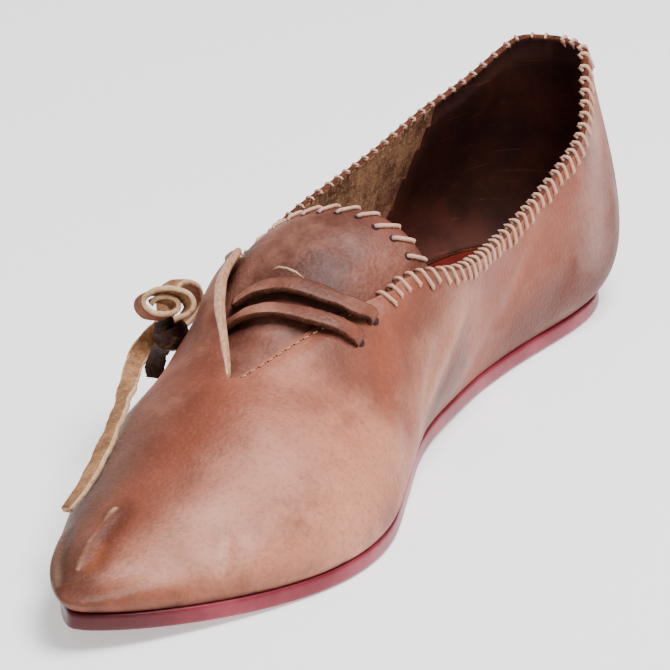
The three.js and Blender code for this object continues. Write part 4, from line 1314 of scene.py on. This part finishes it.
def whip_stitches(name, outer, inner, edge, out, pitch, depth, slant, radius, inner_share=1.0):
    """Threads over an edge: arrays of points depth below the edge on both faces, and on the edge."""
    run = run_of(edge)
    random = np.random.default_rng(11)
    points, faces, holes = [], [], []
    count = int(run[-1] // pitch)
    for k in range(count):
        where = (k + 0.4) * run[-1] / count + random.normal() * PITCH_STRAY * pitch
        deep = depth * (1 + DEPTH_STRAY * random.normal())
        share = np.clip(deep / depth, 0.7, 1.2)
        lean = slant * (1 + SLANT_STRAY * random.normal())
        top = at_run(where + lean / 2, run, edge)
        normal = unit(at_run(where, run, out))
        start = lerp(top, at_run(where, run, outer), share)
        end = lerp(top, at_run(where + lean, run, inner), share * inner_share)
        lift = radius * 0.75
        inward = -normal
        path = np.array(
            [
                start - normal * 0.7,
                start + normal * lift,
                lerp(start, top, 0.5) + normal * (lift + 0.1),
                lerp(start, top, 0.92) + normal * lift,
                top + unit(top - start) * lift + normal * 0.1,
                top + unit(top - start) * lift + inward * UPPER_WALL,
                lerp(end, top, 0.5) + inward * (lift + 0.1),
                end + inward * lift,
                end - inward * 0.7,
            ]
        )
        fine, _ = catmull(path, 16)
        tube(points, faces, fine, radius)
        holes.append((start, normal))
    threads = new_mesh(name, points, faces, [THREAD_LOOK])
    return holes


def dark_holes(name, holes, radius, look=HOLE_SHADE_LOOK):
    """Flat studs at places with the directions out of them; with the default look they are dark discs of
    painted shade for holes.
    """
    points, faces = [], []
    for centre, normal in holes:
        side = unit(np.cross(normal, [0.2, 0.1, 0.97]))
        up = np.cross(normal, side)
        start = len(points)
        below = start + HOLE_SIDES
        for rise in (HOLE_RISE, -HOLE_SINK):
            points += circle(centre + normal * rise, side, up, radius, HOLE_SIDES)
        faces.append(list(range(start, below)))
        faces.append(list(range(below, below + HOLE_SIDES))[::-1])
        faces += turned(ring_faces(2, HOLE_SIDES, start))
    return new_mesh(name, points, faces, [look])


# Side, last station, pitch, depth and thread radius in mm
COLLAR_STITCHES = [("medial", 0.53, 3.7, 2.9, 0.56), ("lateral", 0.515, 4.2, 1.7, 0.4)]


def collar_stitches():
    for side, last, pitch, depth, radius in COLLAR_STITCHES:
        columns = [i for i, a in enumerate(UPPER_AT) if a <= last]
        outer = UPPER_OUTER[side][columns]
        inner = UPPER_INNER[side][columns]
        normals = unit(outer - inner)[:, -1]
        lower_outer, lower_inner = [], []
        for i in range(len(columns)):
            run = run_of(outer[i][::-1])[1:]
            row = ROWS - 1 - int(np.searchsorted(run, depth))
            lower_outer.append(outer[i][row])
            lower_inner.append(inner[i][row])
        edge = np.array([rim_point(side, i, (RIM_STEPS + 1) // 2) for i in columns])
        holes = whip_stitches(
            f"collar_stitches_{side}",
            np.array(lower_outer),
            np.array(lower_inner),
            lerp(outer[:, -1], edge, 0.8),
            normals,
            pitch,
            depth,
            COLLAR_SLANT,
            radius,
            inner_share=0.4,
        )
        dark_holes(f"collar_holes_{side}", [(c - n * 0.1, n) for c, n in holes], 0.75)


def tongue_stitches():
    across = np.linspace(0.03, 0.97, 70)[None, :]
    top = bezier(tongue_sections(TONGUE_TOP_AT), across)[0]
    below = bezier(tongue_sections(TONGUE_TOP_AT + TONGUE_STITCH["depth"] / SOLE_LENGTH), across)[0]
    climb = np.gradient(top, axis=0)
    out = unit(np.cross(top - below, climb))
    out = np.where(out[:, 2:] < 0, -out, out)
    under = below - out * TONGUE_THICKNESS
    rows = [values[::-1] for values in (below, under, top, out)]
    holes = whip_stitches("tongue_stitches", *rows, **TONGUE_STITCH)
    dark_holes("tongue_holes", holes, 1.15)


def insole_pegs():
    """Pale pegs round the heel and the waist of the insole."""
    top = INSOLE_BASE + INSOLE_THICKNESS
    pegs = []
    for side in SIDES:
        at = np.arange(*PEG_SPAN, PEG_PITCH / SOLE_LENGTH)
        spots, _ = edge_at(side, at, INSOLE_INSET + PEG_INSET)
        heights = underside_at(at) + top
        pegs += [(np.array([*spot, z]), np.array([0, 0, 1.0])) for spot, z in zip(spots, heights)]
    dark_holes("insole_pegs", pegs, 0.6, THREAD_LOOK)


def bar_stitch():
    """One pale stitch of the seam that shows over the back bar."""
    points, faces = [], []
    path = []
    for across, rise in BAR_STITCH:
        point, out = tongue_spot(BAR_STITCH_AT, across)
        path.append(point + out * rise)
    tube(points, faces, np.array(path), 0.3)
    new_mesh("bar_stitch", points, faces, [THREAD_LOOK])


def slit_seam():
    """Small running stitches along the sewn edge of the slit, with a dark disc of painted shade for the
    pinhole at each end.
    """
    columns = [i for i, a in enumerate(UPPER_AT) if SEAM_SPAN[0] < a < SEAM_SPAN[1]]
    line, outs = [], []
    for i in columns:
        outer = UPPER_OUTER["medial"][i]
        line.append(at_run(SEAM_INSET, run_of(outer[::-1])[1:], outer[-2::-1]))
        outs.append(unit(outer[-2] - UPPER_INNER["medial"][i][-2]))
    line, outs = np.array(line), np.array(outs)
    run = run_of(line)
    points, faces, holes = [], [], []
    for start in np.arange(0.5, run[-1] - SEAM_STITCH, SEAM_PITCH):
        where = np.linspace(start, start + SEAM_STITCH, len(SEAM_RISE))
        place_on = at_run(where, run, line)
        out = at_run(where, run, outs)
        tube(points, faces, place_on + out * SEAM_RISE, 0.27)
        holes += [(place_on[0], out[0]), (place_on[-1], out[-1])]
    threads = new_mesh("slit_seam", points, faces, [SEAM_LOOK])
    dark_holes("slit_pinholes", holes, 0.4)


collar_stitches()
tongue_stitches()
slit_seam()
bar_stitch()
insole_pegs()
# dark discs of painted shade where the bars go into their slits
dark_holes("bar_slits", bar_slits, 1.5)


# Light and floor
def area_light(name, direction, distance, size, power):
    data = bpy.data.lights.new(name, "AREA")
    data.shape = "RECTANGLE"
    data.size, data.size_y = size
    data.energy = power
    lamp = add_object(name, data)
    lamp.location = Vector(direction).normalized() * distance
    lamp.rotation_euler = (-lamp.location).to_track_quat("-Z", "Y").to_euler()


area_light("key", (0.3, 0.03, 0.95), 1.1, (0.7, 0.6), 24)
area_light("fill", (0.9, -0.5, 0.55), 1.4, (1.0, 0.8), 1)
area_light("side", (-0.9, -0.2, 0.5), 1.6, (0.8, 0.8), 0.5)

world = bpy.data.worlds.new("world")
world.use_nodes = True
world.node_tree.nodes["Background"].inputs[0].default_value = (1, 1, 1, 1)
world.node_tree.nodes["Background"].inputs[1].default_value = 0.3
bpy.context.scene.world = world

FLOOR_REACH = 6
FLOOR_CORNERS = [(-1, -1, 0), (1, -1, 0), (1, 1, 0), (-1, 1, 0)]
floor_data = bpy.data.meshes.new("floor")
floor_data.from_pydata([Vector(corner) * FLOOR_REACH for corner in FLOOR_CORNERS], [], [[0, 1, 2, 3]])
floor_data.materials.append(Look("floor").finish(color=(0.93, 0.93, 0.93, 1), rough=0.8, glow=0.6))
floor = add_object("floor", floor_data)
floor.location = (0, 0, -0.0002)
